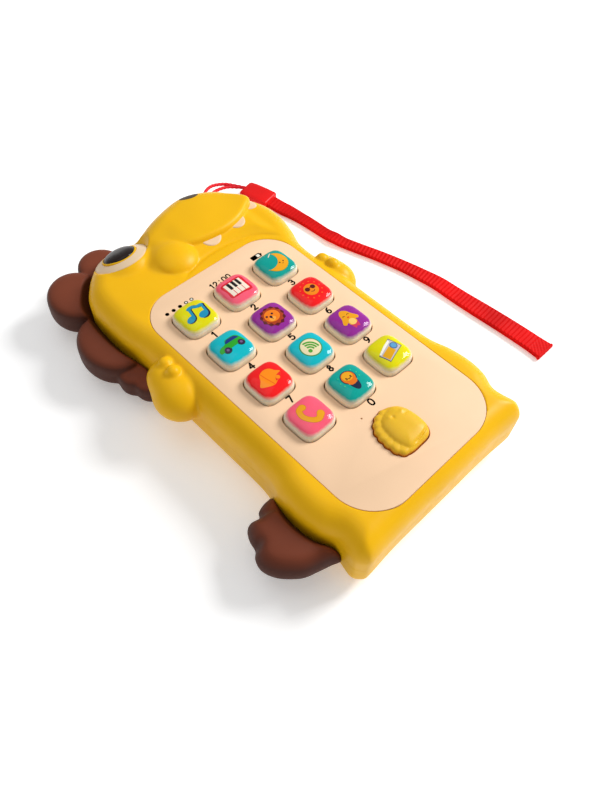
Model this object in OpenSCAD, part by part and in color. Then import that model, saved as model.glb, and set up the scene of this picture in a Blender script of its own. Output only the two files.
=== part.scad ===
// Toy cell phone in the shape of a dinosaur lying on its back.
// Origin: on the rest plane, under the centre of the twelve picture keys.
// +X to the right of the face, +Y towards the head, +Z out of the key face. Millimetres.

/* [Body] */
// Thickness from the rest plane to the face panel
body_t = 28; // [27:0.5:29]
// Half width of the waist
waist_w = 41.7; // [41:0.1:43]
// Extra half width of the hips
hip_out = 3.6; // [2:0.1:4.5]
// Distance from the key grid centre to the foot end
foot_y = 76; // [75:0.5:78]
// Radius of the rolled edge of the key face
face_round = 8.5; // [7:0.5:9]
// Radius of the rolled edge of the back
back_round = 9; // [7:0.5:9]
// Wall thickness of the two shells
wall = 2.2; // [2:0.1:2.6]
// Height of the seam between the two shells
seam_z = 12; // [11:0.5:13]

/* [Panel] */
// Width of the face panel
panel_w = 68.4; // [68:0.1:69]
// Head end of the face panel
panel_top = 48; // [47.5:0.1:49]
// Foot end of the face panel
panel_foot = 71.4; // [70.5:0.1:72]
// Thickness of the face panel
panel_t = 1.6; // [1.2:0.1:2]

/* [Keys] */
// Pitch of the keys across the face
key_px = 20; // [19.5:0.1:20.5]
// Pitch of the keys along the face
key_py = 19.75; // [19.5:0.05:20.5]
// Side of a key
key_side = 15; // [14:0.1:15.4]
// Corner radius of a key
key_r = 4.9; // [4:0.1:5.5]
// Height of the coloured dome's crown above the panel
key_high = 4.2; // [3.6:0.1:4.6]
// Free gap round a key
key_gap = 0.35; // [0.25:0.05:0.5]
// Travel of a key
key_travel = 1.2; // [0.8:0.1:1.2]
// Home key centre, across from the middle of the key grid
home_x = -0.5; // [-1:0.1:1]
// Distance from the key grid centre to the home key
home_y = -52.9; // [-54:0.1:-52]
// Radius of the home key
home_r = 8.8; // [8:0.1:9.2]

/* [Power] */
// Diameter of one battery cell
cell_d = 10.5; // [10.3:0.1:10.5]
// Length of one battery cell without its nub
cell_l = 43.7; // [43.5:0.1:44]
// Middle of the battery bay along the body
bay_y = -35; // [-36:0.5:-34]
// Slide of the power switch to each side
switch_travel = 2; // [1.5:0.1:2]

/* [Strap] */
// Width of the webbing
web_w = 10; // [8:0.5:11]
// Thickness of one layer of webbing
web_t = 1.1; // [0.9:0.1:1.2]

/* [Hidden] */
$fn = 32;
fit = 0.1;                      // general clearance between two fixed pieces
spine_foot = -48;               // the edges roll towards a spine between these two places
spine_head = 56;
deck_t = 2.2;                   // shell deck under the panel
deck_z = body_t - panel_t - deck_t;
cavity_z = deck_z;
col_x = [-key_px, 0, key_px];
row_y = [1.5 * key_py, 0.5 * key_py, -0.5 * key_py, -1.5 * key_py];
dome_t = 2.3;                   // coloured dome, from its lower edge to its crown
crown_r = 18;                   // radius of the dome's crown
dome_z = body_t + key_high - dome_t;
flange_side = key_side + 2.5;
flange_z = deck_z - 0.1;
board_z = 17;                   // underside of the circuit board
board_t = 1.6;
pad_z = board_z + board_t + 0.1;
pad_t = 0.8;                    // silicone sheet
pill_z = pad_z + pad_t + 0.6;   // top of a silicone pill
stem_z = pill_z + key_travel + 0.1;
screw_xy = [[-35, -66], [35, -66], [-35.4, -20], [35.4, -20], [-34.8, 50], [38, 50]];
board_screw_xy = [[-28.6, 39.5], [28.6, 39.5], [-28.6, -63], [28.6, -63]];
board_foot = -66;
board_head = 43;
eye_c = [-18.1, 65.1, 2.5];     // centre of the ball whose cap is the eye
eye_r = 28;
eye_dir = [-0.072, 0.467, 0.881];
cheek_c = [-5.3, 61.6, 26];
post_xy = [30.5, 81.5];         // post that the strap cord loops round
post_r = 1.6;
cord_r = 0.8;
cord_z = 12;
speaker_y = 55;
speaker_r = 14;
switch_y = 16;
cell_pitch = cell_d + 0.7;
frame_top = wall + 1.2;         // frame that the battery door closes against
cell_z = frame_top + 0.1 + cell_d / 2;
spring_l = 4.3;
plate_t = 0.4;
bay_w = 3 * cell_pitch + 1;
bay_l = cell_l + spring_l + 2;  // room for the cell, its nub, the spring and two plates
bay_wall = 1.4;
door_w = 40;
door_l = 60;
door_t = 1.9;
door_y = bay_y + 2;
door_screw_y = bay_y + 28.4;
mic_xy = [-6.7, -41.3];         // pinhole in the face panel
mic_r = 0.6;
web_z = 0.4;                    // the webbing lies just above the rest plane

// ---------- curves ----------

function unit(v) = v / norm(v);
function arc(c, r, a0, a1, n) = [for (i = [0:n]) let (a = a0 + (a1 - a0) * i / n)
    [c[0] + r * cos(a), c[1] + r * sin(a)]];
function mirror_x(p) = [for (i = [len(p) - 1:-1:0]) [-p[i][0], p[i][1]]];
// Catmull-Rom curve through a closed ring of points
function curve_at(a, b, c, d, t) = 0.5 * (2 * b + (c - a) * t
    + (2 * a - 5 * b + 4 * c - d) * t * t + (3 * b - a - 3 * c + d) * t * t * t);
function closed_curve(p, n) = [for (i = [0:len(p) - 1]) for (j = [0:n - 1])
    curve_at(p[(i + len(p) - 1) % len(p)], p[i], p[(i + 1) % len(p)], p[(i + 2) % len(p)], j / n)];
function bezier_at(p, t) = pow(1 - t, 3) * p[0] + 3 * t * pow(1 - t, 2) * p[1]
    + 3 * t * t * (1 - t) * p[2] + pow(t, 3) * p[3];

// ---------- body outline at its widest height ----------

// Right side from the foot end to the neck: foot corner, hip, waist
side_right = concat(
    arc([waist_w - 4.1, -foot_y + 4.2], 5, -80, 0, 3),
    [[waist_w - 0.3, -64], [waist_w + 0.7 * hip_out, -57.5], [waist_w + hip_out, -50],
     [waist_w + 0.75 * hip_out, -41], [waist_w + 0.3, -31], [waist_w, -8], [waist_w, 14], [waist_w - 0.3, 34]]);
// Head, from the lower jaw over the snout, the eye and the back of the head
head_edge = [[waist_w + 3.4, 45], [waist_w + 5.6, 54], [waist_w + 5, 64.5], [40.2, 77.6], [31, 86.2],
    [17.5, 90], [4, 87.4], [-6.4, 83.2], [-14.7, 81.2], [-22.5, 83.2], [-32, 80], [-38.2, 74],
    [-41.8, 68], [-43.2, 59], [-waist_w - 1.5, 46]];
outline = closed_curve(concat([[0, -foot_y], [24, -foot_y]], side_right, head_edge,
    mirror_x(side_right), [[-24, -foot_y]]), 2);

function spine_of(p) = [0, min(max(p[1], spine_foot), spine_head)];
// The outline moved inwards by d, towards the spine
function inset(p, d) = [for (q = p) q + d * unit(spine_of(q) - q)];
function ring(p, z) = [for (q = p) [q[0], q[1], z]];
// Heights and insets of the rolled edges of the whole body
function back_roll(r, n) = [for (i = [0:n]) let (a = 90 * i / n) [r * (1 - sin(a)), r * (1 - cos(a))]];
function face_roll(r, top, n) = [for (i = [0:n]) let (a = 90 * i / n)
    [r * (1 - cos(a)), top - r * (1 - sin(a))]];

// Closed solid through rings of equal point count, bottom to top
module loft(rings) {
    n = len(rings[0]);
    m = len(rings);
    pts = [for (r = rings) for (q = r) q];
    sides = [for (k = [0:m - 2]) for (i = [0:n - 1])
        [k * n + i, (k + 1) * n + i, (k + 1) * n + (i + 1) % n, k * n + (i + 1) % n]];
    polyhedron(pts, concat(sides, [[for (i = [0:n - 1]) i]],
        [[for (i = [n - 1:-1:0]) (m - 1) * n + i]]), convexity = 6);
}

module oval(c, r) {
    translate(c) scale(r) sphere(r = 1, $fn = 24);
}

module rounded_rect(w, l, r) {
    square([w - 2 * r, l], center = true);
    square([w, l - 2 * r], center = true);
    for (x = [-1, 1], y = [-1, 1])
        translate([x * (w / 2 - r), y * (l / 2 - r)]) circle(r = r);
}

module rounded_block(w, l, r, z0, z1) {
    translate([0, 0, z0]) linear_extrude(z1 - z0) rounded_rect(w, l, r);
}

module tube(r1, r0, z0, z1) {
    translate([0, 0, z0]) difference() {
        cylinder(r = r1, h = z1 - z0);
        translate([0, 0, -1]) cylinder(r = r0, h = z1 - z0 + 2);
    }
}

module rod(a, b, r) {
    d = b - a;
    translate(a)
        rotate([0, acos(d[2] / norm(d)), atan2(d[1], d[0])])
            cylinder(r = r, h = norm(d), $fn = 10);
}

module wire(path, r) {
    resize([0, 0, 0]) union() {
        for (i = [0:len(path) - 2]) rod(path[i], path[i + 1], r);
        for (i = [1:len(path) - 2]) translate(path[i]) sphere(r = 1.07 * r, $fn = 10);
    }
}

module at_keys() {
    for (x = col_x, y = row_y) translate([x, y, 0]) children();
}

// ---------- shells ----------

// Arms as ovals, grown by d: upper arm and hand, then two finger bumps on the hand
left_arm = [[[-42, 13.2, 18.5], [9.8, 10.2, 8.6]], [[-41.6, 21.6, 20.6], [7.2, 7.2, 6]]];
right_arm = [[[40.8, 14.4, 18.5], [7.2, 8.2, 8.6]], [[40.4, 21, 20.9], [5.8, 6.6, 6]]];
module arm(parts, d) {
    for (q = parts) oval(q[0], [q[1][0] + d, q[1][1] + d, q[1][2] + d]);
}
module fingers(side) {
    oval([side * 40, 22.8, 25.5], [2.7, 2.7, 2.6]);
    oval([side * 40.6, 17.6, 26.4], [2.6, 2.7, 2.5]);
}

// Upper jaw: raised relief from the lip line to the top of the head
lip_line = [[-9, 68.5], [-2, 63], [5, 60], [12, 58.6], [20.7, 58.1], [28, 59.5], [34, 62.3], [39.8, 67.2]];
jaw_top = [[36.4, 76.5], [28, 83.8], [17.3, 87], [4.2, 84.4], [-5, 80.6], [-12, 77]];
module upper_jaw() {
    edge = closed_curve(concat(lip_line, jaw_top), 3);
    middle = [16, 73];
    function shrunk(d) = [for (q = edge) q + d * unit(middle - q)];
    loft([ring(edge, body_t - 5), ring(edge, body_t + 1.2), ring(shrunk(1), body_t + 2.4),
        ring(shrunk(3.2), body_t + 3.4), ring(shrunk(6.5), body_t + 3.8)]);
}

module outer_form() {
    union() {
        loft(concat([for (s = back_roll(back_round, 5)) ring(inset(outline, s[0]), s[1])],
            [for (s = face_roll(face_round, body_t, 5)) ring(inset(outline, s[0]), s[1])]));
        arm(left_arm, 0);
        arm(right_arm, 0);
        for (side = [-1, 1]) fingers(side);
        upper_jaw();
        oval(cheek_c, [10.2, 10.2, 6]);
        eye_swelling();
    }
}

module cavity() {
    difference() {
        loft(concat(
            [for (s = back_roll(back_round - wall, 4)) ring(inset(outline, s[0] + wall), s[1] + wall)],
            [for (s = face_roll(face_round - wall, cavity_z, 4)) ring(inset(outline, s[0] + wall), s[1])]));
        // solid round the strap pocket, and a seat behind the eye
        translate([post_xy[0], post_xy[1], 0]) cylinder(r = 7.2, h = body_t);
        along_eye() translate([0, 0, eye_r - 8]) cylinder(r = 12.8, h = 20);
    }
}

// Panel outline grown by d: corners of radius 14 at the head end and 16 at the foot end
module panel_shape(d) {
    r_head = 14;
    r_foot = 16;
    mid = (panel_top - panel_foot) / 2;
    half_w = panel_w / 2 + d;
    head_y = panel_top + d;
    foot_end = -panel_foot - d;
    for (s = [-1, 1]) {
        translate([s * (half_w - r_head), head_y - r_head]) circle(r = r_head, $fn = 64);
        translate([s * (half_w - r_foot), foot_end + r_foot]) circle(r = r_foot, $fn = 64);
    }
    translate([-half_w, foot_end + r_foot]) square([2 * half_w, head_y - r_head - foot_end - r_foot]);
    translate([r_foot - half_w, foot_end]) square([2 * (half_w - r_foot), mid - foot_end]);
    translate([r_head - half_w, mid]) square([2 * (half_w - r_head), head_y - mid]);
}

// Home key outline: a blunt animal head with a scalloped mane along its left side
home_pts = [[8.1, 0.3], [7.4, 4.3], [5.6, 6.9], [2, 8.6], [-2.2, 8.4], [-5.3, 6.8], [-7.4, 4.1], [-8.2, 0.8],
    [-8.2, -3.2], [-7.4, -6.5], [-4.4, -8.6], [0.4, -8.8], [5, -8.4], [7.4, -6.2], [8.1, -3.2]];
function home_edge(d) = [for (p = closed_curve(home_pts, 6)) let (
    a = atan2(p[1], p[0]),
    turn = a < 0 ? a + 360 : a,
    lock = (turn > 80 && turn < 240) ? 0.45 * abs(sin(9 * (turn - 80))) : 0,
    r = norm(p) * home_r / 8.8 + d + lock)
    [home_x + r * cos(a), home_y + r * sin(a)]];

module key_openings(z0, z1) {
    at_keys() rounded_block(key_side + 2 * key_gap, key_side + 2 * key_gap, key_r + key_gap, z0, z1);
    translate([0, 0, z0]) linear_extrude(z1 - z0) polygon(home_edge(key_gap));
}

function tooth(c, w, h, lean) = [for (p = [[-w, 0.6], [w, 0.6], [w * 0.75, -h * 0.45], [w * 0.3, -h],
    [-w * 0.3, -h], [-w * 0.75, -h * 0.45]])
    [c[0] + p[0] * cos(lean) - p[1] * sin(lean), c[1] + p[0] * sin(lean) + p[1] * cos(lean)]];
module teeth_form(d, z0) {
    z1 = body_t + 0.25;
    for (t = [[[12.6, 58.9], 4, 3.1, 2], [[26.5, 59.9], 3.7, 3.3, 8], [[37.8, 65.2], 2.8, 3.1, 32]])
        translate([0, 0, z0]) linear_extrude(z1 - z0 + 3 * d) polygon(tooth(t[0], t[1] + d, t[2] + d, t[3]));
}

module along_eye() {
    translate(eye_c) rotate([0, acos(unit(eye_dir)[2]), atan2(eye_dir[1], eye_dir[0])]) children();
}

// Low round swelling with a rounded rim that carries the eye
function eye_height(r) = sqrt(eye_r * eye_r - r * r);
module eye_swelling() {
    rim = 12;
    along_eye() rotate_extrude($fn = 64) polygon(concat(
        [[0, 14], [rim, 14], [rim, eye_height(rim) - 1.3], [rim - 0.25, eye_height(rim) - 0.5]],
        [for (r = [11.3, 9.5, 7.4, 5.2, 3]) [r, eye_height(r)]],
        [[0, eye_r]]));
}

// Clearance cut that the mane and the tail tongues pass through
tongue_z0 = seam_z - 1.8;
tongue_z1 = seam_z + 1.8;
module mane_tongue(d) {
    translate([-waist_w - 4, 30 - d, tongue_z0 - d]) cube([7.5, 32 + 2 * d, tongue_z1 - tongue_z0 + 2 * d]);
}
module tail_tongue(d) {
    translate([-waist_w - 5, -57 - d, tongue_z0 - d]) cube([8, 14 + 2 * d, tongue_z1 - tongue_z0 + 2 * d]);
}

module strap_pocket() {
    translate([post_xy[0], post_xy[1], cord_z - 2.6]) cylinder(r = 5, h = 5.2);
    translate([post_xy[0], post_xy[1], cord_z - 2.6]) linear_extrude(5.2)
        polygon([[-5, 0], [-4, 14], [16, 12], [14, -8], [0, -5]]);
}

module front_blank() {
    resize([0, 0, 0]) difference() {
        outer_form();
        cavity();
        translate([-80, -120, -5]) cube([160, 260, seam_z + 0.05 + 5]);
        translate([0, 0, body_t - panel_t]) linear_extrude(12) panel_shape(0.15);
        strap_pocket();
        mane_tongue(fit);
        tail_tongue(fit);
        teeth_form(0.1, body_t - 2);
        eye_seat();
    }
}

module front_shell() {
    color("gold") difference() {
        union() {
            front_blank();
            for (p = screw_xy)
                translate([p[0], p[1], seam_z + 0.05]) cylinder(r = 3.3, h = deck_z + 1 - seam_z);
            for (p = board_screw_xy) translate([p[0], p[1], board_z + board_t]) cylinder(r = 2.6, h = 6.5);
        }
        key_openings(deck_z - 1, body_t);
        for (p = screw_xy) translate([p[0], p[1], seam_z - 1]) cylinder(r = 1.2, h = 10.5);
        for (p = board_screw_xy) translate([p[0], p[1], board_z]) cylinder(r = 1.0, h = 6.6);
        translate([mic_xy[0], mic_xy[1], deck_z - 1]) cylinder(r = mic_r, h = 6);
    }
}

// Round recess that the two eye pieces are pressed into
module eye_seat() {
    along_eye() difference() {
        cylinder(r = 11.3, h = eye_r + 8, $fn = 64);
        sphere(r = eye_r - 2.1, $fn = 96);
        // thin rim of the shell that stands between the ring and the pupil
        intersection() {
            tube(7.3, 6.8, 10, eye_r + 3);
            sphere(r = eye_r + 0.05, $fn = 96);
        }
    }
}

module rear_blank() {
    resize([0, 0, 0]) difference() {
        outer_form();
        cavity();
        translate([-80, -120, seam_z - 0.05]) cube([160, 260, 60]);
        strap_pocket();
        mane_tongue(fit);
        tail_tongue(fit);
    }
}

// Rings of holes over the speaker
module grille() {
    spacing = 3.4;
    for (k = [0:3]) {
        holes = max(1, 6 * k);
        for (i = [0:holes - 1]) rotate([0, 0, i * 360 / holes])
            translate([k * spacing, 0, -1]) cylinder(r = 0.9, h = wall + 2.8);
    }
}

module rear_shell() {
    color("goldenrod") difference() {
        union() {
            rear_blank();
            for (p = screw_xy) translate([p[0], p[1], 2.6]) cylinder(r = 3.3, h = seam_z - 2.65);
            // walls round the battery bay
            translate([0, bay_y, wall - 0.2]) difference() {
                translate([-bay_w / 2 - bay_wall, -bay_l / 2 - bay_wall, 0])
                    cube([bay_w + 2 * bay_wall, bay_l + 2 * bay_wall, 9]);
                translate([-bay_w / 2, -bay_l / 2, -1]) cube([bay_w, bay_l, 12]);
            }
            // frame that the door closes against
            translate([0, door_y, 0]) rounded_block(door_w + 6, door_l + 6, 4, wall - 0.2, frame_top);
            // boss for the door screw
            translate([0, door_screw_y, wall - 0.2]) cylinder(r = 2.8, h = 8);
            // ring round the speaker
            translate([0, speaker_y, 0]) tube(speaker_r + 1.8, speaker_r + 0.2, wall - 0.2, 6.5);
            // rails beside the slide switch
            for (s = [-1, 1]) translate([-8, switch_y + s * 4.6 - 0.7, wall - 0.2]) cube([16, 1.4, 4.5]);
            // post for the strap cord
            translate([post_xy[0], post_xy[1], cord_z - 4]) cylinder(r = post_r, h = 6.5);
        }
        for (p = screw_xy) translate([p[0], p[1], -1]) cylinder(r = 2.7, h = 8);
        for (p = screw_xy) translate([p[0], p[1], 5]) cylinder(r = 1.5, h = 10);
        // battery opening and the ledge that the door drops into
        translate([0, door_y, 0]) rounded_block(door_w + 0.4, door_l + 0.4, 3.2, -1, door_t + 0.05);
        translate([-bay_w / 2, bay_y - bay_l / 2 + 0.6, -1]) cube([bay_w, bay_l - 1.2, 6]);
        translate([0, door_screw_y, -1]) cylinder(r = 1.2, h = 9);
        translate([0, speaker_y, 0]) grille();
        // slot for the switch knob
        translate([0, switch_y, 0]) rounded_block(11, 4.6, 1.2, -1, wall + 1);
    }
}

module face_panel() {
    color("bisque") difference() {
        translate([0, 0, body_t - panel_t + 0.02]) linear_extrude(panel_t - 0.02) panel_shape(0);
        key_openings(body_t - panel_t - 1, body_t + 1);
        translate([mic_xy[0], mic_xy[1], body_t - panel_t - 1]) cylinder(r = mic_r, h = 6);
    }
}

// ---------- keys ----------

module key_body(col, row) {
    translate([col_x[col], row_y[row], 0]) color("ivory") {
        rounded_block(key_side, key_side, key_r, flange_z - 0.1, dome_z);
        rounded_block(flange_side, flange_side, key_r + 1, flange_z - 1.4, flange_z);
        translate([0, 0, stem_z]) cylinder(r = 3, h = flange_z - stem_z);
    }
}

module key_dome(col, row, tint) {
    translate([col_x[col], row_y[row], 0]) color(tint) intersection() {
        rounded_block(key_side - 0.8, key_side - 0.8, key_r - 0.4, dome_z, dome_z + 3);
        translate([0, 0, dome_z + dome_t - crown_r]) sphere(r = crown_r, $fn = 240);
    }
}

module home_key() {
    color("khaki") union() {
        translate([0, 0, flange_z - 0.1]) linear_extrude(body_t - flange_z + 1.6) polygon(home_edge(0));
        translate([home_x, home_y, flange_z - 1.4]) cylinder(r = home_r + 1.7, h = 1.4);
        translate([home_x, home_y, stem_z]) cylinder(r = 3, h = flange_z - stem_z);
        intersection() {
            translate([home_x, home_y, body_t + 1]) cylinder(r = home_r - 0.8, h = 4);
            translate([home_x, home_y, body_t + 3.4 - 16]) sphere(r = 16, $fn = 48);
        }
    }
}

// ---------- face details ----------

module eye_shell(r_in, r_out, ball_in, ball_out) {
    along_eye() intersection() {
        tube(r_out, r_in, 2, eye_r + 3);
        difference() {
            sphere(r = ball_out, $fn = 240);
            sphere(r = ball_in, $fn = 240);
        }
    }
}

module eye_ring() {
    color("bisque") intersection() {
        eye_shell(7.4, 11.2, eye_r - 1.8, eye_r + 0.1);
        translate([-60, 0, seam_z + 0.1]) cube([120, 120, 60]);
    }
}

module eye_pupil() {
    color("black") along_eye() intersection() {
        cylinder(r = 6.7, h = eye_r + 3);
        difference() {
            sphere(r = eye_r + 0.9, $fn = 240);
            sphere(r = eye_r - 1.8, $fn = 240);
        }
    }
}

module teeth() {
    color("bisque") teeth_form(0, body_t - 1.9);
}

// ---------- soft mane and tail ----------

module soft_piece(lobes) {
    difference() {
        union() for (l = lobes) oval(l[0], l[1]);
        loft(concat([for (s = back_roll(back_round, 5)) ring(inset(outline, s[0] - 0.15), s[1] - 0.15)],
            [for (s = face_roll(face_round, body_t, 5)) ring(inset(outline, s[0] - 0.15), s[1] + 0.15)]));
        along_eye() translate([0, 0, 13]) cylinder(r = 12.4, h = 22);
        arm(left_arm, 0.15);
    }
}

module mane() {
    color("saddlebrown") resize([0, 0, 0]) union() {
        soft_piece([
            [[-23.9, 88.3, 12.4], [9.4, 9.6, 5.8]],
            [[-41, 79.8, 12.8], [11.4, 13.1, 6.8]],
            [[-45.1, 51.7, 12.2], [11.7, 15.2, 6.8]],
            [[-44.4, 36.5, 11], [7.6, 7.2, 5.6]],
            [[-43, 30.2, 10.6], [6.5, 6.4, 5.2]]]);
        mane_tongue(0);
    }
}

module tail() {
    color("saddlebrown") resize([0, 0, 0]) union() {
        soft_piece([
            [[-46.5, -42, 12], [7, 6.8, 5.6]],
            [[-53, -46.5, 12], [7.4, 8, 6]],
            [[-50.3, -54, 12], [12.4, 12, 6.6]],
            [[-44.8, -61, 12], [6.6, 6.6, 5.4]]]);
        tail_tongue(0);
    }
}

// ---------- electronics ----------

module keypad_membrane() {
    color("gainsboro") difference() {
        union() {
            translate([-30, -63, pad_z]) cube([60, 101.5, pad_t]);
            at_keys() translate([0, 0, pad_z]) cylinder(r = 4, h = pill_z - pad_z);
            translate([0, home_y, pad_z]) cylinder(r = 4, h = pill_z - pad_z);
        }
        for (p = board_screw_xy) translate([p[0], p[1], pad_z - 1]) cylinder(r = 3.2, h = 5);
        for (y = [key_py, 0, -key_py]) translate([key_px / 2, y, pad_z - 1]) cylinder(r = 1.9, h = 5);
    }
}

module circuit_board() {
    color("seagreen") difference() {
        translate([-31.2, board_foot, board_z]) cube([62.4, board_head - board_foot, board_t]);
        for (p = board_screw_xy) translate([p[0], p[1], board_z - 1]) cylinder(r = 1.3, h = 5);
    }
}

module sound_chip() {
    color("black") intersection() {
        translate([18, 22, board_z - 2.2]) cylinder(r = 6, h = 2.2);
        translate([18, 22, board_z + 7.1 - 2.2]) sphere(r = 7.6, $fn = 48);
    }
}

module key_leds() {
    color("tomato") for (y = [key_py, 0, -key_py]) translate([key_px / 2, y, board_z + board_t + 0.05]) {
        cylinder(r = 1.5, h = 3.2);
        translate([0, 0, 3.2]) sphere(r = 1.5);
        cylinder(r = 1.8, h = 0.6);
    }
}

module speaker_basket() {
    color("silver") translate([0, speaker_y, wall + 0.05]) rotate_extrude()
        polygon([[speaker_r - 2.2, 0], [speaker_r, 0], [speaker_r, 1.2], [10.5, 4.2], [9.1, 4.2], [9.1, 3.2],
            [speaker_r - 2.2, 1]]);
}

module speaker_cone() {
    color("dimgray") translate([0, speaker_y, wall + 0.5]) rotate_extrude()
        polygon([[0, 1.9], [3.2, 1.2], [speaker_r - 2.7, 0.1],
            [speaker_r - 2.7, 0.6], [3.4, 1.7], [0, 2.4]]);
}

module speaker_magnet() {
    color("gray") translate([0, speaker_y, wall + 0.05]) union() {
        translate([0, 0, 4.25]) cylinder(r = 10.4, h = 1.2);
        translate([0, 0, 5.4]) cylinder(r = 9, h = 4);
    }
}

module power_cell() {
    rotate([-90, 0, 0]) {
        cylinder(r = cell_d / 2 - 0.05, h = cell_l);
        translate([0, 0, cell_l - 0.1]) cylinder(r = 1.9, h = 0.9);
    }
}

module battery_cells() {
    flat_end = -bay_l / 2 + 0.55 + spring_l;
    color("steelblue") for (k = [-1, 0, 1])
        translate([k * cell_pitch, bay_y, cell_z]) rotate([0, 0, k == 0 ? 180 : 0])
            translate([0, flat_end, 0]) power_cell();
}

// One conical contact spring along +Y, as a swept coil
coil_turns = 3.5;
coil_steps = 12;
module coil(len_y) {
    n = coil_turns * coil_steps;
    m = 6;
    pts = [for (i = [0:n]) for (j = [0:m - 1]) let (a = i * 360 / coil_steps, r = 3.4 - 1.4 * i / n,
        w = 0.35, b = j * 360 / m)
        [(r + w * cos(b)) * cos(a), 0.3 + (len_y - 0.6) * i / n + w * sin(b), (r + w * cos(b)) * sin(a)]];
    faces = [for (i = [0:n - 1]) for (j = [0:m - 1])
        [i * m + j, i * m + (j + 1) % m, (i + 1) * m + (j + 1) % m, (i + 1) * m + j]];
    polyhedron(pts, concat(faces, [[for (j = [m - 1:-1:0]) j]], [[for (j = [0:m - 1]) n * m + j]]),
        convexity = 8);
}

module battery_springs() {
    end_y = bay_l / 2 - 0.5;
    color("silver") for (k = [-1, 0, 1])
        translate([k * cell_pitch, bay_y, cell_z]) mirror([0, k == 0 ? 1 : 0, 0]) translate([0, -end_y, 0])
            coil(spring_l);
}

module battery_plates() {
    end_y = bay_l / 2 - 0.05;
    color("silver") for (k = [-1, 0, 1], s = [-1, 1])
        translate([k * cell_pitch - 4.2, bay_y + s * end_y - (s > 0 ? plate_t : 0), cell_z - 4.2])
            cube([8.4, plate_t, 8.6]);
}

module battery_door() {
    color("goldenrod") difference() {
        union() {
            translate([0, door_y, 0]) rounded_block(door_w, door_l, 3, 0, door_t);
            for (x = [-1, 1])
                translate([x * cell_pitch / 2 - 0.5, bay_y - 18, door_t - 0.1]) cube([1, 30, 1.5]);
        }
        translate([0, door_screw_y, -1]) cylinder(r = 1.5, h = 5);
        translate([0, door_screw_y, -1]) cylinder(r = 2.7, h = 2.1);
        // grip ribs
        for (k = [-2:2])
            translate([-8 + abs(k), bay_y - 20 + 1.8 * k, -0.5]) cube([16 - 2 * abs(k), 0.8, 0.9]);
    }
}

// Screw pointing up, with a cross recess in its head
module cross_screw(head_r, head_h, shank_r, len_z) {
    slot_w = 0.6;
    slot_l = 1.2 * head_r;
    difference() {
        union() {
            cylinder(r = head_r, h = head_h);
            cylinder(r = shank_r, h = len_z);
        }
        for (a = [0, 90]) rotate([0, 0, a])
            translate([-slot_l / 2, -slot_w / 2, -0.1]) cube([slot_l, slot_w, 0.6 * head_h + 0.1]);
    }
}

module door_screw() {
    color("silver") translate([0, door_screw_y, 0.2]) cross_screw(2.5, 0.85, 1.1, 7);
}

module switch_body() {
    color("dimgray") difference() {
        translate([-7, switch_y - 3.3, wall + 2]) cube([14, 6.6, 5]);
        translate([-4.2, switch_y - 1.4, wall + 1]) cube([8.4, 2.8, 4]);
    }
}

module switch_knob() {
    color("black") union() {
        translate([-3, switch_y - 1.9, 0.5]) cube([6, 3.8, wall - 0.3]);
        translate([-3, switch_y - 3.4, wall + 0.15]) cube([6, 6.8, 1]);
        translate([-1.5, switch_y - 1.1, wall + 0.9]) cube([3, 2.2, 3]);
        for (x = [-2, 0, 2]) translate([x - 0.3, switch_y - 1.9, 0.2]) cube([0.6, 3.8, 0.4]);
    }
}

module case_screws() {
    color("silver") for (p = screw_xy) translate([p[0], p[1], 5.45]) cross_screw(2.4, 1.5, 1.1, 14);
}

module board_screws() {
    color("silver") for (p = board_screw_xy)
        translate([p[0], p[1], board_z - 1.55]) cross_screw(2.2, 1.5, 0.9, 7);
}

module speaker_wires() {
    color("crimson") for (s = [-1, 1])
        wire([[s * 3, speaker_y - 8.2, wall + 9.9], [s * 3, speaker_y - 12, wall + 12],
            [s * 3 + 8, 37, board_z - 2.4], [s * 3 + 8, 34, board_z - 0.6]], 0.5);
}

module battery_wires() {
    side_x = bay_w / 2 + bay_wall + 0.9;
    color("black") for (s = [-1, 1])
        wire([[s * side_x, bay_y + 18, frame_top + 0.3], [s * side_x, bay_y + 18, 11.6],
            [s * side_x, bay_y + 26, board_z - 1.6], [s * side_x, bay_y + 29, board_z - 0.6]], 0.5);
}

// ---------- wrist strap ----------

buckle_c = [66.5, 90.8, 3.4];
buckle_turn = 13;
buckle_size = [10.8, 15.5, 4.8];
cord_in = [63.6, 99.4, 3.8];
cord_path = [for (i = [0:6]) bezier_at([[post_xy[0] + 1.6, post_xy[1] + 1.9, cord_z], [38, 98, cord_z - 0.5],
    [56, 110, 5.5], cord_in], i / 6)];

module strap_cord() {
    color("red") union() {
        translate([post_xy[0], post_xy[1], cord_z]) rotate_extrude()
            translate([post_r + cord_r + 0.08, 0]) circle(r = cord_r, $fn = 16);
        wire(cord_path, cord_r);
    }
}

module strap_buckle() {
    bore_r = cord_r - 0.02;
    color("red") difference() {
        translate(buckle_c) rotate([0, 0, buckle_turn])
            translate([0, 0, -buckle_size[2] / 2]) linear_extrude(buckle_size[2])
                rounded_rect(buckle_size[0], buckle_size[1], 1.6);
        wire(cord_path, cord_r);
    }
}

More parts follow.
